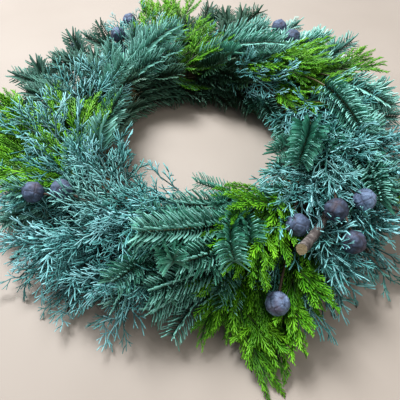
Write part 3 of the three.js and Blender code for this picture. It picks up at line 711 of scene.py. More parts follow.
def twigs_of(spray, first, last, step, lengths, spread, pitches, bearing):
    """The spray's side shoots, with lesser ones between, shorter towards the tip."""
    draw = drawer(spray["seed"] + TWIG_DRAW)
    stem = spray["stem"]
    twigs = [path for _, _, path in spray["shoots"]]
    taken = [(place, side) for place, side, _ in spray["shoots"]]
    whole = length_of(stem)
    count = int(whole * (last - first) / step)
    for k in range(count):
        place = first + (last - first) * (k + TWIG_PLACE_VARIES * draw()) / count
        side = 1 if k % 2 else -1
        share = (place - first) / (last - first)
        length = (lengths[0] + (lengths[1] - lengths[0]) * share) * (1 + TWIG_LENGTH_VARIES * draw())
        pitch = pitches[k % len(pitches)] + TWIG_ANGLE_VARIES * draw()
        turned = spread + TWIG_ANGLE_VARIES * draw()
        if any(side == other and abs(place - there) * whole < step * TWIGS_APART for there, other in taken):
            continue
        for share, pitch_by in TWIG_TRIES:
            path = shoot_path(stem, place, side, pitch + pitch_by, length * share, turned)
            if has_room(path, bearing):
                twigs.append(path)
                break
    return twigs


def skeleton_of(name, lines, tone):
    """A mesh of bare lines. Each has points, thickness, size of what it bears, bark and up."""
    mesh = bpy.data.meshes.new(name)
    corners, edges = [], []
    marks = {"thick": [], "size": [], "bears": [], "bark": [], "tone": []}
    ups = []
    for line in lines:
        first = len(corners)
        corners += in_place(line["points"]).tolist()
        edges += [(first + i, first + i + 1) for i in range(len(line["points"]) - 1)]
        for label in marks:
            marks[label] += list(line[label]) if label in line else [tone] * len(line["points"])
        ups += [tuple(up) for up in line["up"]]
    mesh.from_pydata(corners, edges, [])
    for label, values in marks.items():
        mesh.attributes.new(label, "FLOAT", "POINT").data.foreach_set("value", np.array(values, np.float32))
    ups = np.array(ups, np.float32).ravel()
    mesh.attributes.new("up", "FLOAT_VECTOR", "POINT").data.foreach_set("vector", ups)
    return mesh


# Sprays whose tips are higher than this have the lightest colour, and fir ones hardly branch.
LONE_BRUSH_FROM = 70
LONE_TONE = 0.04
# Where the sprays' colour is deeper or lighter, by azimuth and radius of their tips, and how deep. The deeper
# colour is partly the sprays' own darker green and partly painted shade, most of all inside the hole; the
# lightest row is painted light on sprays that stand in the others' shadow.
DEEP_AND_SHADED_PLACES = [
    (48, 118, 80, 135, 0.9), (70, 96, 200, 265, 0.9), (119, 160, 80, 110, 0.9), (0, 360, 0, 95, 0.9),
    (119, 175, 180, 265, 0.68), (290, 330, 100, 165, 0.02),
]
USUAL_TONE, TONE_VARIES = 0.17, 0.2
# Sprays whose tips are lower than this lie in the others' shade and get painted shade: their colour is deeper
# by the value below.
LOW_TIP = 30
LOW_PAINTED_SHADE = 0.14


def tone_of(spray):
    """How deep and green a spray's colour is, from 0 to 1: partly its own colour and partly painted shade. It
    is deepest at the far side and low down.
    """
    tip = spray["stem"][-1]
    azimuth, radius = azimuth_of(tip), math.hypot(tip[0], tip[1])
    if tip[2] > LONE_BRUSH_FROM:
        return LONE_TONE
    for azimuth_from, azimuth_to, radius_from, radius_to, tone in DEEP_AND_SHADED_PLACES:
        if azimuth_from < azimuth < azimuth_to and radius_from < radius < radius_to:
            return tone
    by_chance = USUAL_TONE + TONE_VARIES * drawer(spray["seed"] + TONE_DRAW)()
    return by_chance + (LOW_PAINTED_SHADE if tip[2] < LOW_TIP else 0)


# The tip of a needle or thread narrows from this share of its last step, where it has this share of its
# width. The very tip has this much of its underside's colour.
BLUNT_FROM = 0.86
BLUNT_WIDTH = 0.85
TIP_UNDER = 0.3
# The three corners round a needle or thread: angle, and whether it is on the underside.
LIMB_CORNERS = [(30, 0), (150, 0), (270, 1)]


def new_shape():
    return {"corners": [], "faces": [], "tip": [], "under": []}


def limb(shape, points, widths, flatness, up):
    """Adds a three-sided limb with a blunt tip to a shape's corners and faces."""
    near_tip = points[-2] * (1 - BLUNT_FROM) + points[-1] * BLUNT_FROM
    points = np.array([*points[:-1], near_tip, points[-1]])
    widths = [*widths, widths[-1] * BLUNT_WIDTH]
    first = len(shape["corners"])
    last = len(points) - 1
    for i in range(last):
        onward = unit(points[i + 1] - points[max(i - 1, 0)])
        side = unit(np.cross(up, onward))
        over = np.cross(onward, side)
        for angle, under in LIMB_CORNERS:
            turned = math.radians(angle)
            reach = side * math.cos(turned) + over * math.sin(turned) * flatness
            shape["corners"].append((points[i] + reach * widths[i]) * 0.001)
            shape["tip"].append(i / last)
            shape["under"].append(under)
    top = len(shape["corners"])
    shape["corners"].append(points[last] * 0.001)
    shape["tip"].append(1)
    shape["under"].append(TIP_UNDER)
    for k in range(3):
        n = (k + 1) % 3
        for i in range(last - 1):
            a = first + i * 3
            shape["faces"].append((a + k, a + n, a + 3 + n, a + 3 + k))
        shape["faces"].append((top - 3 + k, top - 3 + n, top))
    shape["faces"].append((first + 2, first + 1, first))


def shapes_in(name, shapes, smooth):
    """A collection of small shapes for a tree to pick from, outside the scene."""
    group = bpy.data.collections.new(name)
    for k, shape in enumerate(shapes):
        marks = {"tip": shape["tip"], "under": shape["under"]}
        mesh = mesh_of(f"{name}_{k}", shape["corners"], shape["faces"], smooth, **marks)
        group.objects.link(bpy.data.objects.new(mesh.name, mesh))
    return group


def product(tree, value, factor):
    return put(tree, "ShaderNodeMath", {0: value, 1: factor}, operation="MULTIPLY").outputs[0]


def blend_of(tree, share, first, second):
    """A colour between two others."""
    node = put(tree, "ShaderNodeMix", {0: share, 6: first, 7: second}, data_type="RGBA")
    return node.outputs[2]


def rising(tree, value, low, high):
    """A share that rises from 0 at the low value to 1 at the high one."""
    return ramp(tree, value, (low, 0, 0, 0), (high, 255, 255, 255))


def painted_root_shade(tree, colour, dark):
    """A colour that darkens towards the root of each needle or thread: painted shade, for the shade deep
    inside the foliage.
    """
    share = rising(tree, marked(tree, "tip"), 0.0, 0.55)
    return blend_of(tree, sum_of(tree, share, 0.72, 0.28), dark, colour)


def scale_leaves(tree, scale):
    """The height of tight scale leaves, about 1/scale metres across."""
    wires = {"Vector": put(tree, "ShaderNodeTexCoord").outputs["Object"], "Scale": scale}
    return put(tree, "ShaderNodeTexVoronoi", wires).outputs["Distance"]


def clear_away(group):
    for source in list(group.objects):
        bpy.data.objects.remove(source)
    bpy.data.collections.remove(group)


BARK_SIDES = 5
# The smallest and largest share of its full size that a needle or thread has.
SIZES_BORNE = (0.82, 1.12)


def stored_in(tree, label, kind="FLOAT"):
    """What a piece's bare lines have stored under that label."""
    return put(tree, "GeometryNodeInputNamedAttribute", {"Name": label}, data_type=kind).outputs[0]


def foliage_tree(name, arc_start, arc, turn_step):
    """Bark along each line, and small shapes borne on it. Each is turned round its line in an arc."""
    tree, given, result = tree_with(
        name, Shapes="Collection", Spacing="Float", Size="Float", Scatter="Float", Tilt="Float", Seed="Int",
        Material="Material",
    )
    lines = smooth_curves(tree, given["Geometry"])
    bark = round_tubes(tree, lines, BARK_SIDES, 0.001, Scale=stored_in(tree, "thick"))

    def chance(low, high, seed_by):
        seed = put(tree, "ShaderNodeMath", {0: given["Seed"], 1: float(seed_by)}, operation="ADD").outputs[0]
        node = put(tree, "FunctionNodeRandomValue", {2: low, 3: high, "Seed": seed}, data_type="FLOAT")
        return node.outputs[1]

    dots = put(tree, "GeometryNodeCurveToPoints", {"Curve": lines, "Length": given["Spacing"]}, mode="LENGTH")
    wires = {0: stored_in(tree, "bears"), 1: 0.5}
    is_bare = put(tree, "FunctionNodeCompare", wires, operation="LESS_THAN").outputs[0]
    frames = put(tree, "FunctionNodeAxesToRotation", {
        "Primary Axis": dots.outputs["Tangent"], "Secondary Axis": stored_in(tree, "up", "FLOAT_VECTOR"),
    }, primary_axis="Z", secondary_axis="Y").outputs[0]
    count = put(tree, "GeometryNodeInputIndex").outputs[0]
    turned = put(tree, "ShaderNodeMath", {0: product(tree, count, turn_step)}, operation="FRACT").outputs[0]
    turned = sum_of(tree, turned, arc, arc_start)
    turned = sum_of(tree, chance(-1, 1, 1), given["Scatter"], turned)
    turn = put(tree, "FunctionNodeAxisAngleToRotation", {"Axis": (0, 0, 1), "Angle": turned}).outputs[0]
    facing = put(tree, "FunctionNodeRotateRotation", {0: frames, 1: turn}, rotation_space="LOCAL").outputs[0]
    tilted = product(tree, chance(-1, 1, 4), given["Tilt"])
    tilt = put(tree, "FunctionNodeAxisAngleToRotation", {"Axis": (0, 1, 0), "Angle": tilted}).outputs[0]
    facing = put(tree, "FunctionNodeRotateRotation", {0: facing, 1: tilt}, rotation_space="LOCAL").outputs[0]
    size = product(tree, product(tree, stored_in(tree, "size"), given["Size"]), chance(*SIZES_BORNE, 2))
    borne = put(tree, "GeometryNodeCollectionInfo", {
        "Collection": given["Shapes"], "Separate Children": True, "Reset Children": True,
    }).outputs[0]
    wires = {4: 0, 5: 99, "Seed": given["Seed"]}
    pick = put(tree, "FunctionNodeRandomValue", wires, data_type="INT").outputs[2]
    dots = put(tree, "GeometryNodeDeleteGeometry", {"Geometry": dots.outputs[0], "Selection": is_bare})
    placed = put(tree, "GeometryNodeInstanceOnPoints", {
        "Points": dots.outputs[0], "Instance": borne, "Pick Instance": True, "Instance Index": pick,
        "Rotation": facing, "Scale": size,
    }).outputs[0]
    for label, value in (("shade", chance(0, 1, 3)), ("bark", 0.0)):
        placed = put(tree, "GeometryNodeStoreNamedAttribute", {
            "Geometry": placed, "Name": label, "Value": value,
        }, data_type="FLOAT", domain="INSTANCE").outputs[0]
    together = put(tree, "GeometryNodeJoinGeometry")
    tree.links.new(placed, together.inputs[0])
    tree.links.new(bark, together.inputs[0])
    end_tree(tree, together.outputs[0], given["Material"], result)
    return tree


STEM_TIP_RADIUS = 0.7
# What a stem bears is smaller over its last half, down to this share at its tip.
TIP_SIZE = 0.7


def stem_line(stem, bare, brown, up=(0, 0, 1)):
    """A stem's own line: bare and brown near the ring, bearing further on, and thin at the tip."""
    whole = length_of(stem)
    shares = [length_of(stem[:i + 1]) / whole for i in range(len(stem))]
    seat = shares[BOUND_STEPS - 1]
    free = [max(0, (share - seat) / (1 - seat)) for share in shares]
    return {
        "points": stem,
        "thick": [STEM_RADIUS + (STEM_TIP_RADIUS - STEM_RADIUS) * share for share in free],
        "size": [1 - (1 - TIP_SIZE) * max(0, share - 0.5) * 2 for share in free],
        "bears": [1.0 if share > bare else 0.0 for share in free],
        "bark": [min(1, max(0, 1 - (share - bare) / brown)) for share in free],
        "up": [up] * len(stem),
    }


def twig_line(path, thick, size, bark, up):
    """A side shoot's line, which bears all along."""
    start, middle, end = path
    return {
        "points": [start, start * 0.5 + middle * 0.5, middle, middle * 0.5 + end * 0.5, end],
        "thick": [thick * share for share in (1, 0.9, 0.75, 0.6, 0.35)],
        "size": [size * share for share in (0.8, 1, 1, 0.92, 0.74)],
        "bears": [0.3, 1, 1, 1, 1],
        "bark": [bark * share for share in (1, 0.8, 0.6, 0.4, 0.2)],
        "up": [up] * 5,
    }


# Fir sprays: cut branch tips of noble fir with needles of about 20 mm, dense on the upper side.
# A needle is a flat blade, deep blue-green above and silvery beneath.
NEEDLE_LENGTH = 19.5
NEEDLE_WIDTH = 1.02
NEEDLE_SPACING = 0.000478
NEEDLE_ROWS = 6
# The rows stand round the upper side of a twig, in this arc of degrees.
NEEDLE_ARC_FROM, NEEDLE_ARC = -24, 274
# Five needles to pick from: how far each half leans off its twig, and how the blade is turned.
NEEDLE_LEANS = [(66, 46), (62, 43), (68, 50), (60, 42), (64, 45)]
NEEDLE_TWISTS = [-24, -12, 0, 12, 24]
FIR_TWIGS = {"first": 0.3, "last": 0.86, "lengths": (52, 32), "spread": 44, "pitches": (-6, 10, 22, -18)}
FIR_REACH = 12
FIR_STEP = 26
LONE_STEP = 90
FIR_BARE = 0.06
FIR_BROWN = 1.2
# A single brush bears needles along this length up to its tip, larger and more in line than others.
BRUSH_LENGTH = 66
FIR_FORM = {"Size": 1.0, "Scatter": 0.11, "Tilt": 0.05}
BRUSH_FORM = {"Size": 1.2, "Scatter": 0.05, "Tilt": 0.03}

needles = []
for leans, twist in zip(NEEDLE_LEANS, NEEDLE_TWISTS):
    points = [np.array([0.0, 0.0, 0.0])]
    for lean, share in zip(leans, (0.5, 0.5)):
        angle = math.radians(lean)
        points.append(points[-1] + np.array([math.sin(angle), 0, math.cos(angle)]) * NEEDLE_LENGTH * share)
    turned = math.radians(twist)
    needle = new_shape()
    widths = [NEEDLE_WIDTH * share for share in (0.75, 1.1)]
    limb(needle, points, widths, 0.5, np.array([-0.5 * math.cos(turned), math.sin(turned), math.cos(turned)]))
    needles.append(needle)
needle_shapes = shapes_in("fir_needle", needles, smooth=False)

fir, fir_tree, fir_shader = finish_named("fir", 0.42)
fir_tone = uneven(fir_tree, 0.5, 26, 0.9, -0.1)
# The spray's tone deepens its colour: partly its own darker green, partly painted shade.
fir_tone = sum_of(fir_tree, marked(fir_tree, "tone"), -0.4, fir_tone)
fir_colour = ramp(fir_tree, fir_tone, (0.1, 26, 70, 50), (0.45, 67, 142, 115), (0.85, 128, 198, 176))
# Deep tone, partly painted shade, turns the fir a darker green and dims its pale tips and undersides.
fir_deep_and_shaded = rising(fir_tree, marked(fir_tree, "tone"), 0.3, 0.95)
fir_colour = blend_of(fir_tree, product(fir_tree, fir_deep_and_shaded, 0.9), fir_colour, daylight(44, 74, 34))
fir_pale_share = sum_of(fir_tree, fir_deep_and_shaded, -0.8, 1)
for label, most, paler in (("tip", 0.35, daylight(140, 200, 176)), ("under", 0.7, daylight(178, 226, 224))):
    share = product(fir_tree, product(fir_tree, fir_pale_share, marked(fir_tree, label)), most)
    fir_colour = blend_of(fir_tree, share, fir_colour, paler)
# Painted shade: each needle darkens towards its root.
fir_colour = painted_root_shade(fir_tree, fir_colour, daylight(10, 30, 22))
fir_colour = blend_of(fir_tree, marked(fir_tree, "bark"), fir_colour, daylight(84, 78, 48))
dress(fir_tree, fir_shader, fir_colour, mottle(fir_tree, 1200), 0.25, 0.0003)

arc_from, arc = math.radians(NEEDLE_ARC_FROM), math.radians(NEEDLE_ARC)
fir_growth = foliage_tree("fir needles on a twig", arc_from, arc, 1 / NEEDLE_ROWS)
counts = {}


def numbered(kind, spray):
    """The next name of a kind of spray, and the solid it stands for, if it has one."""
    is_tucked = spray["seed"] >= TUCKED_SEED
    kind = f"tucked_{kind}" if is_tucked else f"{kind}_spray"
    counts[kind] = counts.get(kind, 0) + 1
    name = f"{kind}_{counts[kind]:02d}"
    return name, [] if is_tucked else [name]


for spray in [each for each in sprays if each["kind"] == "fir"]:
    name, solids = numbered("fir", spray)
    is_brush = spray["seed"] >= BRUSH_SEED
    bare = spray.get("bare", FIR_BARE)
    if is_brush:
        bare = 1 - BRUSH_LENGTH / length_of(spray["stem"][BOUND_STEPS - 1:])
    lines = [stem_line(spray["stem"], max(FIR_BARE, bare), FIR_BROWN)]
    step = LONE_STEP if spray["stem"][-1][2] > LONE_BRUSH_FROM else FIR_STEP
    for path in [] if is_brush else twigs_of(spray, step=step, bearing=FIR_REACH, **FIR_TWIGS):
        lines.append(twig_line(path, thick=1.1, size=0.95, bark=0.8, up=(0, 0, 1)))
    piece = object_of(skeleton_of(f"{name}_needled", lines, tone_of(spray)))
    form = BRUSH_FORM if is_brush else {**FIR_FORM, "Size": spray.get("size", FIR_FORM["Size"])}
    grow(
        piece, fir_growth, Shapes=needle_shapes, Spacing=NEEDLE_SPACING, Seed=spray["seed"], Material=fir,
        **form,
    )
    rides(piece, "fir", *solids)
clear_away(needle_shapes)


# Blue cypress sprays: grey-blue, cord-like threads that fork again and again.
# The threads are twigs covered in tight scale leaves with a waxy bloom.
THREAD_LENGTH = 35
THREAD_WIDTH = 0.8
SPRIG_SPACING = 0.0072
BLUE_TWIGS = {
    "first": 0.22, "last": 0.95, "step": 9, "lengths": (56, 32), "spread": 40,
    "pitches": (-14, 12, 28, 0, -26, 40), "bearing": 21,
}
BLUE_BARE = 0.1
BLUE_BROWN = 0.25
BLUE_DRAW = 200
LOW_LARGER = 0.08
# How far the sprigs on a stem and on a side shoot lean by chance, and how their size varies.
STEM_LEANS, SHOOTS_LEAN, BLUE_SIZE_VARIES = 0.2, 0.7, 0.14
# Five sprigs to pick from: how far each third of its main thread leans, how it sways, and its forks' angle.
SPRIG_BENDS = [(46, 28, 6, 9), (30, 42, 26, -8), (54, 34, 16, 10), (38, 14, 34, -9), (26, 24, 2, 7)]
FORK_ANGLES = [0.72, 0.6, 0.7, 0.5, 0.42]
SPRIG_SEED = 60
# The place and side of each fork. Forks and stubs have these lengths at the sprig's root, and are shorter
# by these at its tip.
SPRIG_FORKS = [(0.16, 1), (0.34, -1), (0.54, 1), (0.74, -1)]
FORK_LENGTH, FORK_SHORTER = 21, 13
STUB_LENGTH, STUB_SHORTER = 9, 5
STUBS_BEFORE = 0.7
ELBOW_AT = 0.45

sprigs = []
for k, (*leans, sway) in enumerate(SPRIG_BENDS):
    draw = drawer(SPRIG_SEED + k)
    points = [np.array([0.0, 0.0, 0.0])]
    for i, lean in enumerate(leans):
        angle, off = math.radians(lean), math.radians(sway * (i + 1))
        step = np.array([math.sin(angle) * math.cos(off), math.sin(off), math.cos(angle)])
        points.append(points[-1] + step * THREAD_LENGTH / 3)
    sprig = new_shape()
    up = np.array([0.1, 1.0, 0.0])
    limb(sprig, points, [THREAD_WIDTH, THREAD_WIDTH, THREAD_WIDTH * 0.95], 1.0, up)
    for share, side in SPRIG_FORKS:
        start, onward, _, _ = point_along(points, length_of(points) * share)
        across = unit(np.cross(up, onward))
        angle = FORK_ANGLES[k] + 0.12 * draw()
        out = unit(onward * math.cos(angle) + across * side * math.sin(angle) + up * 0.25 * draw())
        reach = (FORK_LENGTH - FORK_SHORTER * share) * (1 + 0.2 * draw())
        elbow = start + out * reach * ELBOW_AT
        inward = unit(out * 0.45 + onward * 0.55 + up * 0.15 * draw())
        fork = [start, elbow, elbow + inward * reach * (1 - ELBOW_AT)]
        limb(sprig, fork, [THREAD_WIDTH * 0.9, THREAD_WIDTH * 0.88], 1.0, up)
        if share < STUBS_BEFORE:
            stub = elbow + unit(out + across * side * 0.5) * (STUB_LENGTH - STUB_SHORTER * share)
            limb(sprig, [elbow, stub], [THREAD_WIDTH * 0.8], 1.0, up)
    sprigs.append(sprig)
sprig_shapes = shapes_in("blue_sprig", sprigs, smooth=True)

blue, blue_tree, blue_shader = finish_named("blue_cypress", 0.55)
blue_tone = uneven(blue_tree, 0.6, 30, 0.9, -0.15)
# The spray's tone deepens its colour: partly its own darker green, partly painted shade.
blue_tone = sum_of(blue_tree, marked(blue_tree, "tone"), -0.3, blue_tone)
blue_colour = ramp(blue_tree, blue_tone, (0.08, 24, 92, 86), (0.45, 80, 162, 158), (0.85, 160, 218, 222))
blue_green = product(blue_tree, rising(blue_tree, mottle(blue_tree, 13), 0.5, 0.7), 0.5)
blue_colour = blend_of(blue_tree, blue_green, blue_colour, daylight(74, 134, 96))
blue_tip = product(blue_tree, marked(blue_tree, "tip"), 0.3)
blue_colour = blend_of(blue_tree, blue_tip, blue_colour, daylight(176, 224, 222))
# Painted shade: each thread darkens towards its root.
blue_colour = painted_root_shade(blue_tree, blue_colour, daylight(20, 48, 48))
blue_colour = blend_of(blue_tree, marked(blue_tree, "bark"), blue_colour, daylight(84, 68, 58))
dress(blue_tree, blue_shader, blue_colour, scale_leaves(blue_tree, 700), 0.5, 0.0004)

blue_growth = foliage_tree("forked threads on a twig", 0.0, math.radians(360), 0.5)
for spray in [each for each in sprays if each["kind"] == "blue"]:
    name, solids = numbered("blue_cypress", spray)
    draw = drawer(spray["seed"] + BLUE_DRAW)
    up = (STEM_LEANS * draw(), STEM_LEANS * draw(), 1)
    lines = [stem_line(spray["stem"], spray.get("bare", BLUE_BARE), BLUE_BROWN, up)]
    for path in twigs_of(spray, **BLUE_TWIGS):
        tilt = (SHOOTS_LEAN * draw(), SHOOTS_LEAN * draw(), 1)
        lines.append(twig_line(path, thick=1.1, size=0.95, bark=0.12, up=tilt))
    piece = object_of(skeleton_of(f"{name}_threaded", lines, tone_of(spray)))
    size = 1.0 + BLUE_SIZE_VARIES * draw() + (LOW_LARGER if spray["stem"][-1][2] < LOW_TIP else 0)
    grow(
        piece, blue_growth, Shapes=sprig_shapes, Spacing=SPRIG_SPACING, Size=size, Scatter=0.75, Tilt=0.3,
        Seed=spray["seed"], Material=blue,
    )
    rides(piece, "blue_cypress", *solids)
clear_away(sprig_shapes)


# Green cypress sprays: flat fans, feathered on both sides of each twig.
# They are bright yellow-green scale leaves, paler at the tips.
PINNA_LENGTH = 30
LEAFLET_WIDTH = 0.95
PINNA_SPACING = 0.0034
PINNA_FORKS = 9
FORK_ANGLE = 0.38
# Leaflets alternate along this share of a fan's rib. They have this length at its root, and are shorter
# by this at its tip.
FIRST_LEAFLET, LEAFLETS_ALONG = 0.1, 0.84
LEAFLET_LENGTH, LEAFLET_SHORTER = 12, 6.5
PINNA_SEED = 80
GREEN_TWIGS = {
    "first": 0.26, "last": 0.94, "step": 12, "lengths": (54, 30), "spread": 34,
    "pitches": (-10, 6, 20, 0), "bearing": 20,
}
GREEN_BARE = 0.12
GREEN_BROWN = 0.2
GREEN_DRAW = 300
FROND_SIZE = 0.5
# How far the fans on a side shoot lean by chance.
FANS_LEAN = 0.25
# Four side fans to pick from: how far each third of its rib leans, and how it sways.
PINNA_BENDS = [(27, 17, 11, 2), (23, 15, 13, -3), (30, 19, 9, 5), (22, 17, 9, -5)]

pinnae = []
for k, (*leans, sway) in enumerate(PINNA_BENDS):
    draw = drawer(PINNA_SEED + k)
    points = [np.array([0.0, 0.0, 0.0])]
    for i, lean in enumerate(leans):
        angle, off = math.radians(lean), math.radians(sway * (i + 1))
        step = np.array([math.sin(angle), math.sin(off), math.cos(angle)])
        points.append(points[-1] + step * PINNA_LENGTH / 3)
    pinna = new_shape()
    up = np.array([0.0, 1.0, 0.0])
    limb(pinna, points, [LEAFLET_WIDTH, LEAFLET_WIDTH, LEAFLET_WIDTH * 0.9], 0.6, up)
    for fork in range(PINNA_FORKS):
        share = FIRST_LEAFLET + LEAFLETS_ALONG * fork / PINNA_FORKS
        side = 1 if fork % 2 else -1
        start, onward, _, _ = point_along(points, length_of(points) * share)
        across = unit(np.cross(up, onward))
        out = unit(onward * math.cos(FORK_ANGLE) + across * side * math.sin(FORK_ANGLE) + up * 0.1 * draw())
        reach = (LEAFLET_LENGTH - LEAFLET_SHORTER * share) * (1 + 0.15 * draw())
        limb(pinna, [start, start + out * reach], [LEAFLET_WIDTH * 0.85], 0.6, up)
    pinnae.append(pinna)
pinna_shapes = shapes_in("green_pinna", pinnae, smooth=True)

green, green_tree, green_shader = finish_named("green_cypress", 0.45)
green_tone = uneven(green_tree, 0.5, 24, 0.9, -0.12)
# The spray's tone deepens its colour: partly its own darker green, partly painted shade.
green_tone = sum_of(green_tree, marked(green_tree, "tone"), -0.3, green_tone)
green_colour = ramp(green_tree, green_tone, (0.1, 26, 86, 8), (0.45, 70, 152, 16), (0.85, 124, 194, 36))
green_tip = product(green_tree, marked(green_tree, "tip"), 0.4)
green_colour = blend_of(green_tree, green_tip, green_colour, daylight(166, 218, 62))
# Painted shade: each leaflet darkens towards its root.
green_colour = painted_root_shade(green_tree, green_colour, daylight(14, 44, 4))
green_colour = blend_of(green_tree, marked(green_tree, "bark"), green_colour, daylight(84, 70, 38))
dress(green_tree, green_shader, green_colour, scale_leaves(green_tree, 650), 0.4, 0.0004)

green_growth = foliage_tree("feathered fan", 0.0, math.radians(360), 0.5)
for spray in [each for each in sprays if each["kind"] == "green"]:
    name, solids = numbered("green_cypress", spray)
    draw = drawer(spray["seed"] + GREEN_DRAW)
    lines = [stem_line(spray["stem"], spray.get("bare", GREEN_BARE), GREEN_BROWN)]
    is_frond = spray["seed"] >= FROND_SEED
    for path in [] if is_frond else twigs_of(spray, **GREEN_TWIGS):
        tilt = (FANS_LEAN * draw(), FANS_LEAN * draw(), 1)
        lines.append(twig_line(path, thick=0.9, size=0.9, bark=0.3, up=tilt))
    piece = object_of(skeleton_of(f"{name}_feathered", lines, tone_of(spray)))
    size = FROND_SIZE if is_frond else spray.get("size", 1.0)
    grow(
        piece, green_growth, Shapes=pinna_shapes, Spacing=PINNA_SPACING, Size=size, Scatter=0.12, Tilt=0.1,
        Seed=spray["seed"], Material=green,
    )
    rides(piece, "green_cypress", *solids)
clear_away(pinna_shapes)


# Cones: round woody cypress cones with many-sided shields that meet in grooves, each with a small boss.
# They are grey-purple under a pale waxy bloom, reddish brown in the grooves, on short woody stalks.
GOLDEN_ANGLE = math.radians(137.508)
CONE_SHIELDS = 14
CONE_ROUNDS = 5
# Widths of grooves and bosses are angles seen from the cone's middle, and depths are shares of its radius.
GROOVE_WIDTH, GROOVE_DEPTH, GROOVE_SHADE = 0.12, 0.05, 0.6
BOSS_WIDTH, BOSS_HEIGHT = 0.11, 0.07
LUMP_SCALE, LUMP_HEIGHT = 2.3, 0.05
STALK_SIDES = 7
STALK_KNOTS = 0.25
STALK_STEP = 5
STALK_THINS = 0.4
# How fast the lumps of bark change round a limb, and from one ring of its corners to the next.
KNOT_ROUND, KNOT_ALONG = 1.4, 0.35
# Each cone or berry of a bunch has a seed of its own, this many times the bunch's.
FRUIT_SEEDS = 7

cone, cone_tree, cone_shader = finish_named("cone", 0.7)
cone_tone = uneven(cone_tree, 0.3, 180, 0.8, -0.1)
cone_colour = ramp(cone_tree, cone_tone, (0.25, 48, 54, 68), (0.5, 86, 100, 124), (0.75, 138, 158, 186))
cone_rust = product(cone_tree, rising(cone_tree, mottle(cone_tree, 60), 0.52, 0.66), 0.5)
cone_colour = blend_of(cone_tree, cone_rust, cone_colour, daylight(92, 74, 80))
cone_colour = blend_of(cone_tree, marked(cone_tree, "groove"), cone_colour, daylight(56, 46, 50))
cone_colour = blend_of(cone_tree, marked(cone_tree, "bark"), cone_colour, daylight(74, 60, 48))
dress(cone_tree, cone_shader, cone_colour, mottle(cone_tree, 600, 6, 0.6), 0.35, 0.0008)


def round_mesh(rounds):
    """The corners and faces of a ball of radius 1."""
    ball = bmesh.new()
    bmesh.ops.create_icosphere(ball, subdivisions=rounds, radius=1)
    corners = np.array([corner.co[:] for corner in ball.verts])
    faces = [tuple(corner.index for corner in face.verts) for face in ball.faces]
    ball.free()
    return corners, faces


def cone_shape(middle, radius, seed):
    """A cone's corners and the depth of its grooves."""
    draw = drawer(seed)
    corners, _ = round_mesh(CONE_ROUNDS)
    tilt = unit(np.array([draw(), draw(), 1.5]))
    across = unit(np.cross(tilt, [0.3, 1, 0.1]))
    beyond = np.cross(tilt, across)
    shields = []
    for k in range(CONE_SHIELDS):
        height = 1 - 2 * (k + 0.5) / CONE_SHIELDS
        angle = k * GOLDEN_ANGLE + draw() * 0.2
        flat = math.sqrt(1 - height * height)
        shields.append(tilt * height + across * flat * math.cos(angle) + beyond * flat * math.sin(angle))
    near = np.sort(np.arccos(np.clip(corners @ np.array(shields).T, -1, 1)), axis=1)
    edge = np.clip((near[:, 1] - near[:, 0]) / GROOVE_WIDTH, 0, 1)
    edge = edge * edge * (3 - 2 * edge)
    boss = np.exp(-(near[:, 0] / BOSS_WIDTH) ** 2)
    shift = Vector((seed, 0, 0))
    lumps = np.array([noise.noise(Vector(corner) * LUMP_SCALE + shift) for corner in corners])
    reach = radius * (1 - GROOVE_DEPTH * (1 - edge) + BOSS_HEIGHT * boss + LUMP_HEIGHT * lumps)
    return corners * reach[:, None] + middle, (1 - edge) * GROOVE_SHADE


def bark_tube(points, radii, sides, seed, lump):
    """Corners and faces of a woody limb along points, closed at both ends."""
    points = np.array(points, float)
    corners, faces = [], []
    for i, (point, radius) in enumerate(zip(points, radii)):
        onward = unit(points[min(i + 1, len(points) - 1)] - points[max(i - 1, 0)])
        side = unit(np.cross([0.02, 0.01, 1], onward))
        over = np.cross(onward, side)
        for j in range(sides):
            angle = 2 * math.pi * j / sides
            place = (math.cos(angle) * KNOT_ROUND, math.sin(angle) * KNOT_ROUND, i * KNOT_ALONG + seed)
            reach = radius * (1 + lump * noise.noise(Vector(place)))
            corners.append(point + (side * math.cos(angle) + over * math.sin(angle)) * reach)
    for i in range(len(points) - 1):
        for j in range(sides):
            a, b = i * sides + j, i * sides + (j + 1) % sides
            faces.append((a, b, b + sides, a + sides))
    faces.append(tuple(reversed(range(sides))))
    faces.append(tuple(range(len(corners) - sides, len(corners))))
    return corners, faces


def rounded(points, step):
    """Points along a smooth line through the given ones, about a step apart."""
    points = [np.array(point, float) for point in points]
    ends = [points[0] * 2 - points[1], *points, points[-1] * 2 - points[-2]]
    line = []
    for i in range(1, len(ends) - 2):
        count = max(1, round(math.dist(ends[i], ends[i + 1]) / step))
        for t in (k / count for k in range(count)):
            a, b, c, d = ends[i - 1:i + 3]
            bend = (2 * a - 5 * b + 4 * c - d) * t * t + (3 * b - a - 3 * c + d) * t ** 3
            line.append(0.5 * (2 * b + (c - a) * t + bend))
    return [*line, points[-1]]


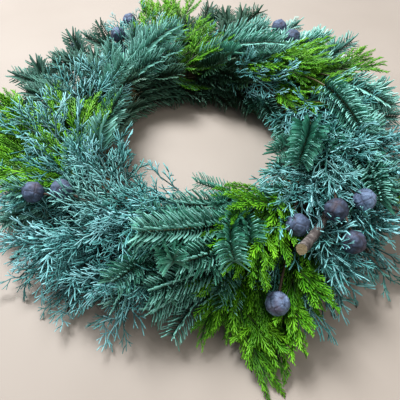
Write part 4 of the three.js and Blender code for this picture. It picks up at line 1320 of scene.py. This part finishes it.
def bunch_mesh(name, bunch, seed, shape_of, rounds):
    """Stalk, forks and all cones or berries of a bunch, as one mesh."""
    corners, faces, groove, bark, shade = [], [], [], [], []
    for line in [bunch["stalk"], *bunch["forks"]]:
        path = rounded(line, STALK_STEP)
        first = len(corners)
        radii = [STEM_RADIUS - STALK_THINS * i / len(path) for i in range(len(path))]
        tube, tube_faces = bark_tube(path, radii, STALK_SIDES, seed, STALK_KNOTS)
        corners += list(tube)
        faces += [tuple(first + i for i in face) for face in tube_faces]
        groove += [0] * len(tube)
        bark += [1] * len(tube)
        shade += [0] * len(tube)
    for k, middle in enumerate(bunch["middles"]):
        first = len(corners)
        own_seed = seed * FRUIT_SEEDS + k
        body, depth = shape_of(middle, bunch["radius"], own_seed)
        _, ball_faces = round_mesh(rounds)
        corners += list(body)
        faces += [tuple(first + i for i in face) for face in ball_faces]
        groove += list(depth)
        bark += [0] * len(body)
        shade += [drawer(own_seed)() * 0.5 + 0.5] * len(body)
    return mesh_of(name, in_place(corners), faces, groove=groove, bark=bark, shade=shade)


for k, bunch in enumerate(bunches[:-1]):
    node = f"cone_bunch_{k + 1:02d}"
    piece = object_of(bunch_mesh(f"{node}_ripe", bunch, k + 1, cone_shape, CONE_ROUNDS), cone)
    rides(piece, "cone", node)


# Berries: three small fleshy berries on one sprig, dark purple with a thin bloom.
# Each has a faint dimple where its scales have closed.
BERRY_ROUNDS = 4
BERRY_SEED = 9
DIMPLE_WIDTH, DIMPLE_DEPTH, DIMPLE_SHADE = 0.3, 0.12, 0.8

berry, berry_tree, berry_shader = finish_named("berry", 0.38)
berry_colour = ramp(
    berry_tree, mottle(berry_tree, 260),
    (0.3, 52, 34, 66), (0.6, 84, 66, 104), (0.8, 122, 112, 146),
)
berry_colour = blend_of(berry_tree, marked(berry_tree, "groove"), berry_colour, daylight(40, 26, 40))
berry_colour = blend_of(berry_tree, marked(berry_tree, "bark"), berry_colour, daylight(92, 84, 52))
dress(berry_tree, berry_shader, berry_colour, mottle(berry_tree, 900), 0.15, 0.0003)


def berry_shape(middle, radius, seed):
    """A berry's corners, and its dimple."""
    corners, _ = round_mesh(BERRY_ROUNDS)
    draw = drawer(seed)
    top = unit(np.array([draw(), draw(), 1.2]))
    dimple = np.exp(-(np.arccos(np.clip(corners @ top, -1, 1)) / DIMPLE_WIDTH) ** 2)
    return corners * (radius * (1 - DIMPLE_DEPTH * dimple))[:, None] + middle, dimple * DIMPLE_SHADE


berry_mesh = bunch_mesh("berry_sprig_01_ripe", bunches[-1], BERRY_SEED, berry_shape, BERRY_ROUNDS)
rides(object_of(berry_mesh, berry), "berry", "berry_sprig_01")


# Cut twig: a short length of cypress wood, with grey-brown peeling bark and knots.
# Its end was cut straight across, so the pale wood shows its rings.
TWIG_SIDES = 18
TWIG_STEP = 3
TWIG_KNOTS = 0.22
TWIG_SEED = 3
# The bark's rim round the cut is this share of its width.
RIM_SHARE = 0.02
# The twig is as thin as a stem up to this share of its length, where it is bound.
THIN_SHARE = 0.18
WOOD_RINGS = 9000.0

twig_points = rounded(twig_path, TWIG_STEP)
twig_radii = []
for i in range(len(twig_points)):
    share = length_of(twig_points[:i + 1]) / length_of(twig_points)
    thicker = max(0, (share - THIN_SHARE) / (1 - THIN_SHARE))
    twig_radii.append(STEM_RADIUS + (TWIG_RADIUS - STEM_RADIUS) * thicker)
twig_corners, twig_faces = bark_tube(twig_points, twig_radii, TWIG_SIDES, TWIG_SEED, TWIG_KNOTS)
twig_faces.pop()
cut_end = twig_points[-1]
rim = len(twig_corners) - TWIG_SIDES
twig_cut = [0] * len(twig_corners) + [1] * TWIG_SIDES
twig_corners += [corner * (1 - RIM_SHARE) + cut_end * RIM_SHARE for corner in twig_corners[rim:]]
cut = rim + TWIG_SIDES
twig_faces.append(tuple(range(cut, cut + TWIG_SIDES)))
for j in range(TWIG_SIDES):
    after = (j + 1) % TWIG_SIDES
    twig_faces.append((rim + j, rim + after, cut + after, cut + j))

twig, twig_tree, twig_shader = finish_named("twig", 0.8)
twig_bark = ramp(
    twig_tree, mottle(twig_tree, 240, 6),
    (0.3, 50, 44, 42), (0.55, 96, 88, 84), (0.75, 146, 140, 132),
)
wires = {0: put(twig_tree, "ShaderNodeTexCoord").outputs["Object"], 1: tuple(in_place(cut_end))}
from_pith = put(twig_tree, "ShaderNodeVectorMath", wires, operation="DISTANCE").outputs["Value"]
twig_rings = product(twig_tree, from_pith, WOOD_RINGS)
twig_rings = put(twig_tree, "ShaderNodeMath", {0: twig_rings}, operation="SINE").outputs[0]
twig_wood = ramp(
    twig_tree, sum_of(twig_tree, twig_rings, 0.3, 0.5),
    (0.1, 138, 122, 94), (0.9, 178, 162, 130),
)
twig_colour = blend_of(twig_tree, marked(twig_tree, "cut"), twig_bark, twig_wood)
dress(twig_tree, twig_shader, twig_colour, mottle(twig_tree, 500, 8, 0.65), 0.7, 0.0012)
twig_mesh = mesh_of("cut_twig_01_barked", in_place(twig_corners), twig_faces, cut=twig_cut)
rides(object_of(twig_mesh, twig), "twig", "cut_twig_01")


# The surface the wreath lies on, the soft light over it, and the camera at the photograph's angle.
# The camera looks down and away from the near side of the ring.
CAMERA_PLACE = (-1.0, -343.0, 339.0)
CAMERA_DROP = 51.6
CAMERA_LENS = 36.0
CAMERA_SENSOR = 36.0
FLOOR_REACH = 4
FLOOR_LEVEL = -0.0004
ROOM_STRENGTH = 0.36

pale, pale_tree, pale_shader = finish_named("pale_floor", 0.6, 0.3)
pale_colour = ramp(pale_tree, mottle(pale_tree, 4), (0.3, 152, 142, 131), (0.7, 160, 150, 139))
pale_tree.links.new(pale_colour, pale_shader.inputs["Base Color"])
floor_corners = [
    (x * FLOOR_REACH, y * FLOOR_REACH, FLOOR_LEVEL) for x, y in ((-1, -1), (1, -1), (1, 1), (-1, 1))]
floor = object_of(mesh_of("pale_floor", floor_corners, [(0, 1, 2, 3)], smooth=False), pale)

world = bpy.data.worlds.new("soft_room")
bpy.context.scene.world = world
world.use_nodes = True
room_light = world.node_tree.nodes["Background"].inputs
room_light["Color"].default_value = daylight(238, 242, 250)
room_light["Strength"].default_value = ROOM_STRENGTH


def soft_light(name, place, width, power, colour):
    """A square lamp that faces the wreath, with its place and width in metres and its power in watts."""
    light = bpy.data.lights.new(name, "AREA")
    light.size = width
    light.energy = power
    light.color = colour[:3]
    lamp = bpy.data.objects.new(name, light)
    lamp.location = place
    lamp.rotation_euler = (-Vector(place)).to_track_quat("-Z", "Y").to_euler()
    bpy.context.scene.collection.objects.link(lamp)


soft_light("window", place=(-0.7, 0.9, 1.8), width=0.8, power=84, colour=daylight(246, 249, 255))
soft_light("fill", place=(1.1, -0.8, 1.5), width=1.6, power=12, colour=daylight(255, 250, 244))

camera = bpy.data.objects.new("camera", bpy.data.cameras.new("camera"))
camera.data.lens = CAMERA_LENS
camera.data.sensor_width = CAMERA_SENSOR
camera.data.clip_start = 0.01
camera.location = in_place(CAMERA_PLACE)
camera.rotation_euler = (math.radians(90 - CAMERA_DROP), 0, 0)
bpy.context.scene.collection.objects.link(camera)
bpy.context.scene.camera = camera
bpy.context.scene.view_settings.view_transform = "Standard"
bpy.context.scene.view_settings.look = "Medium High Contrast"
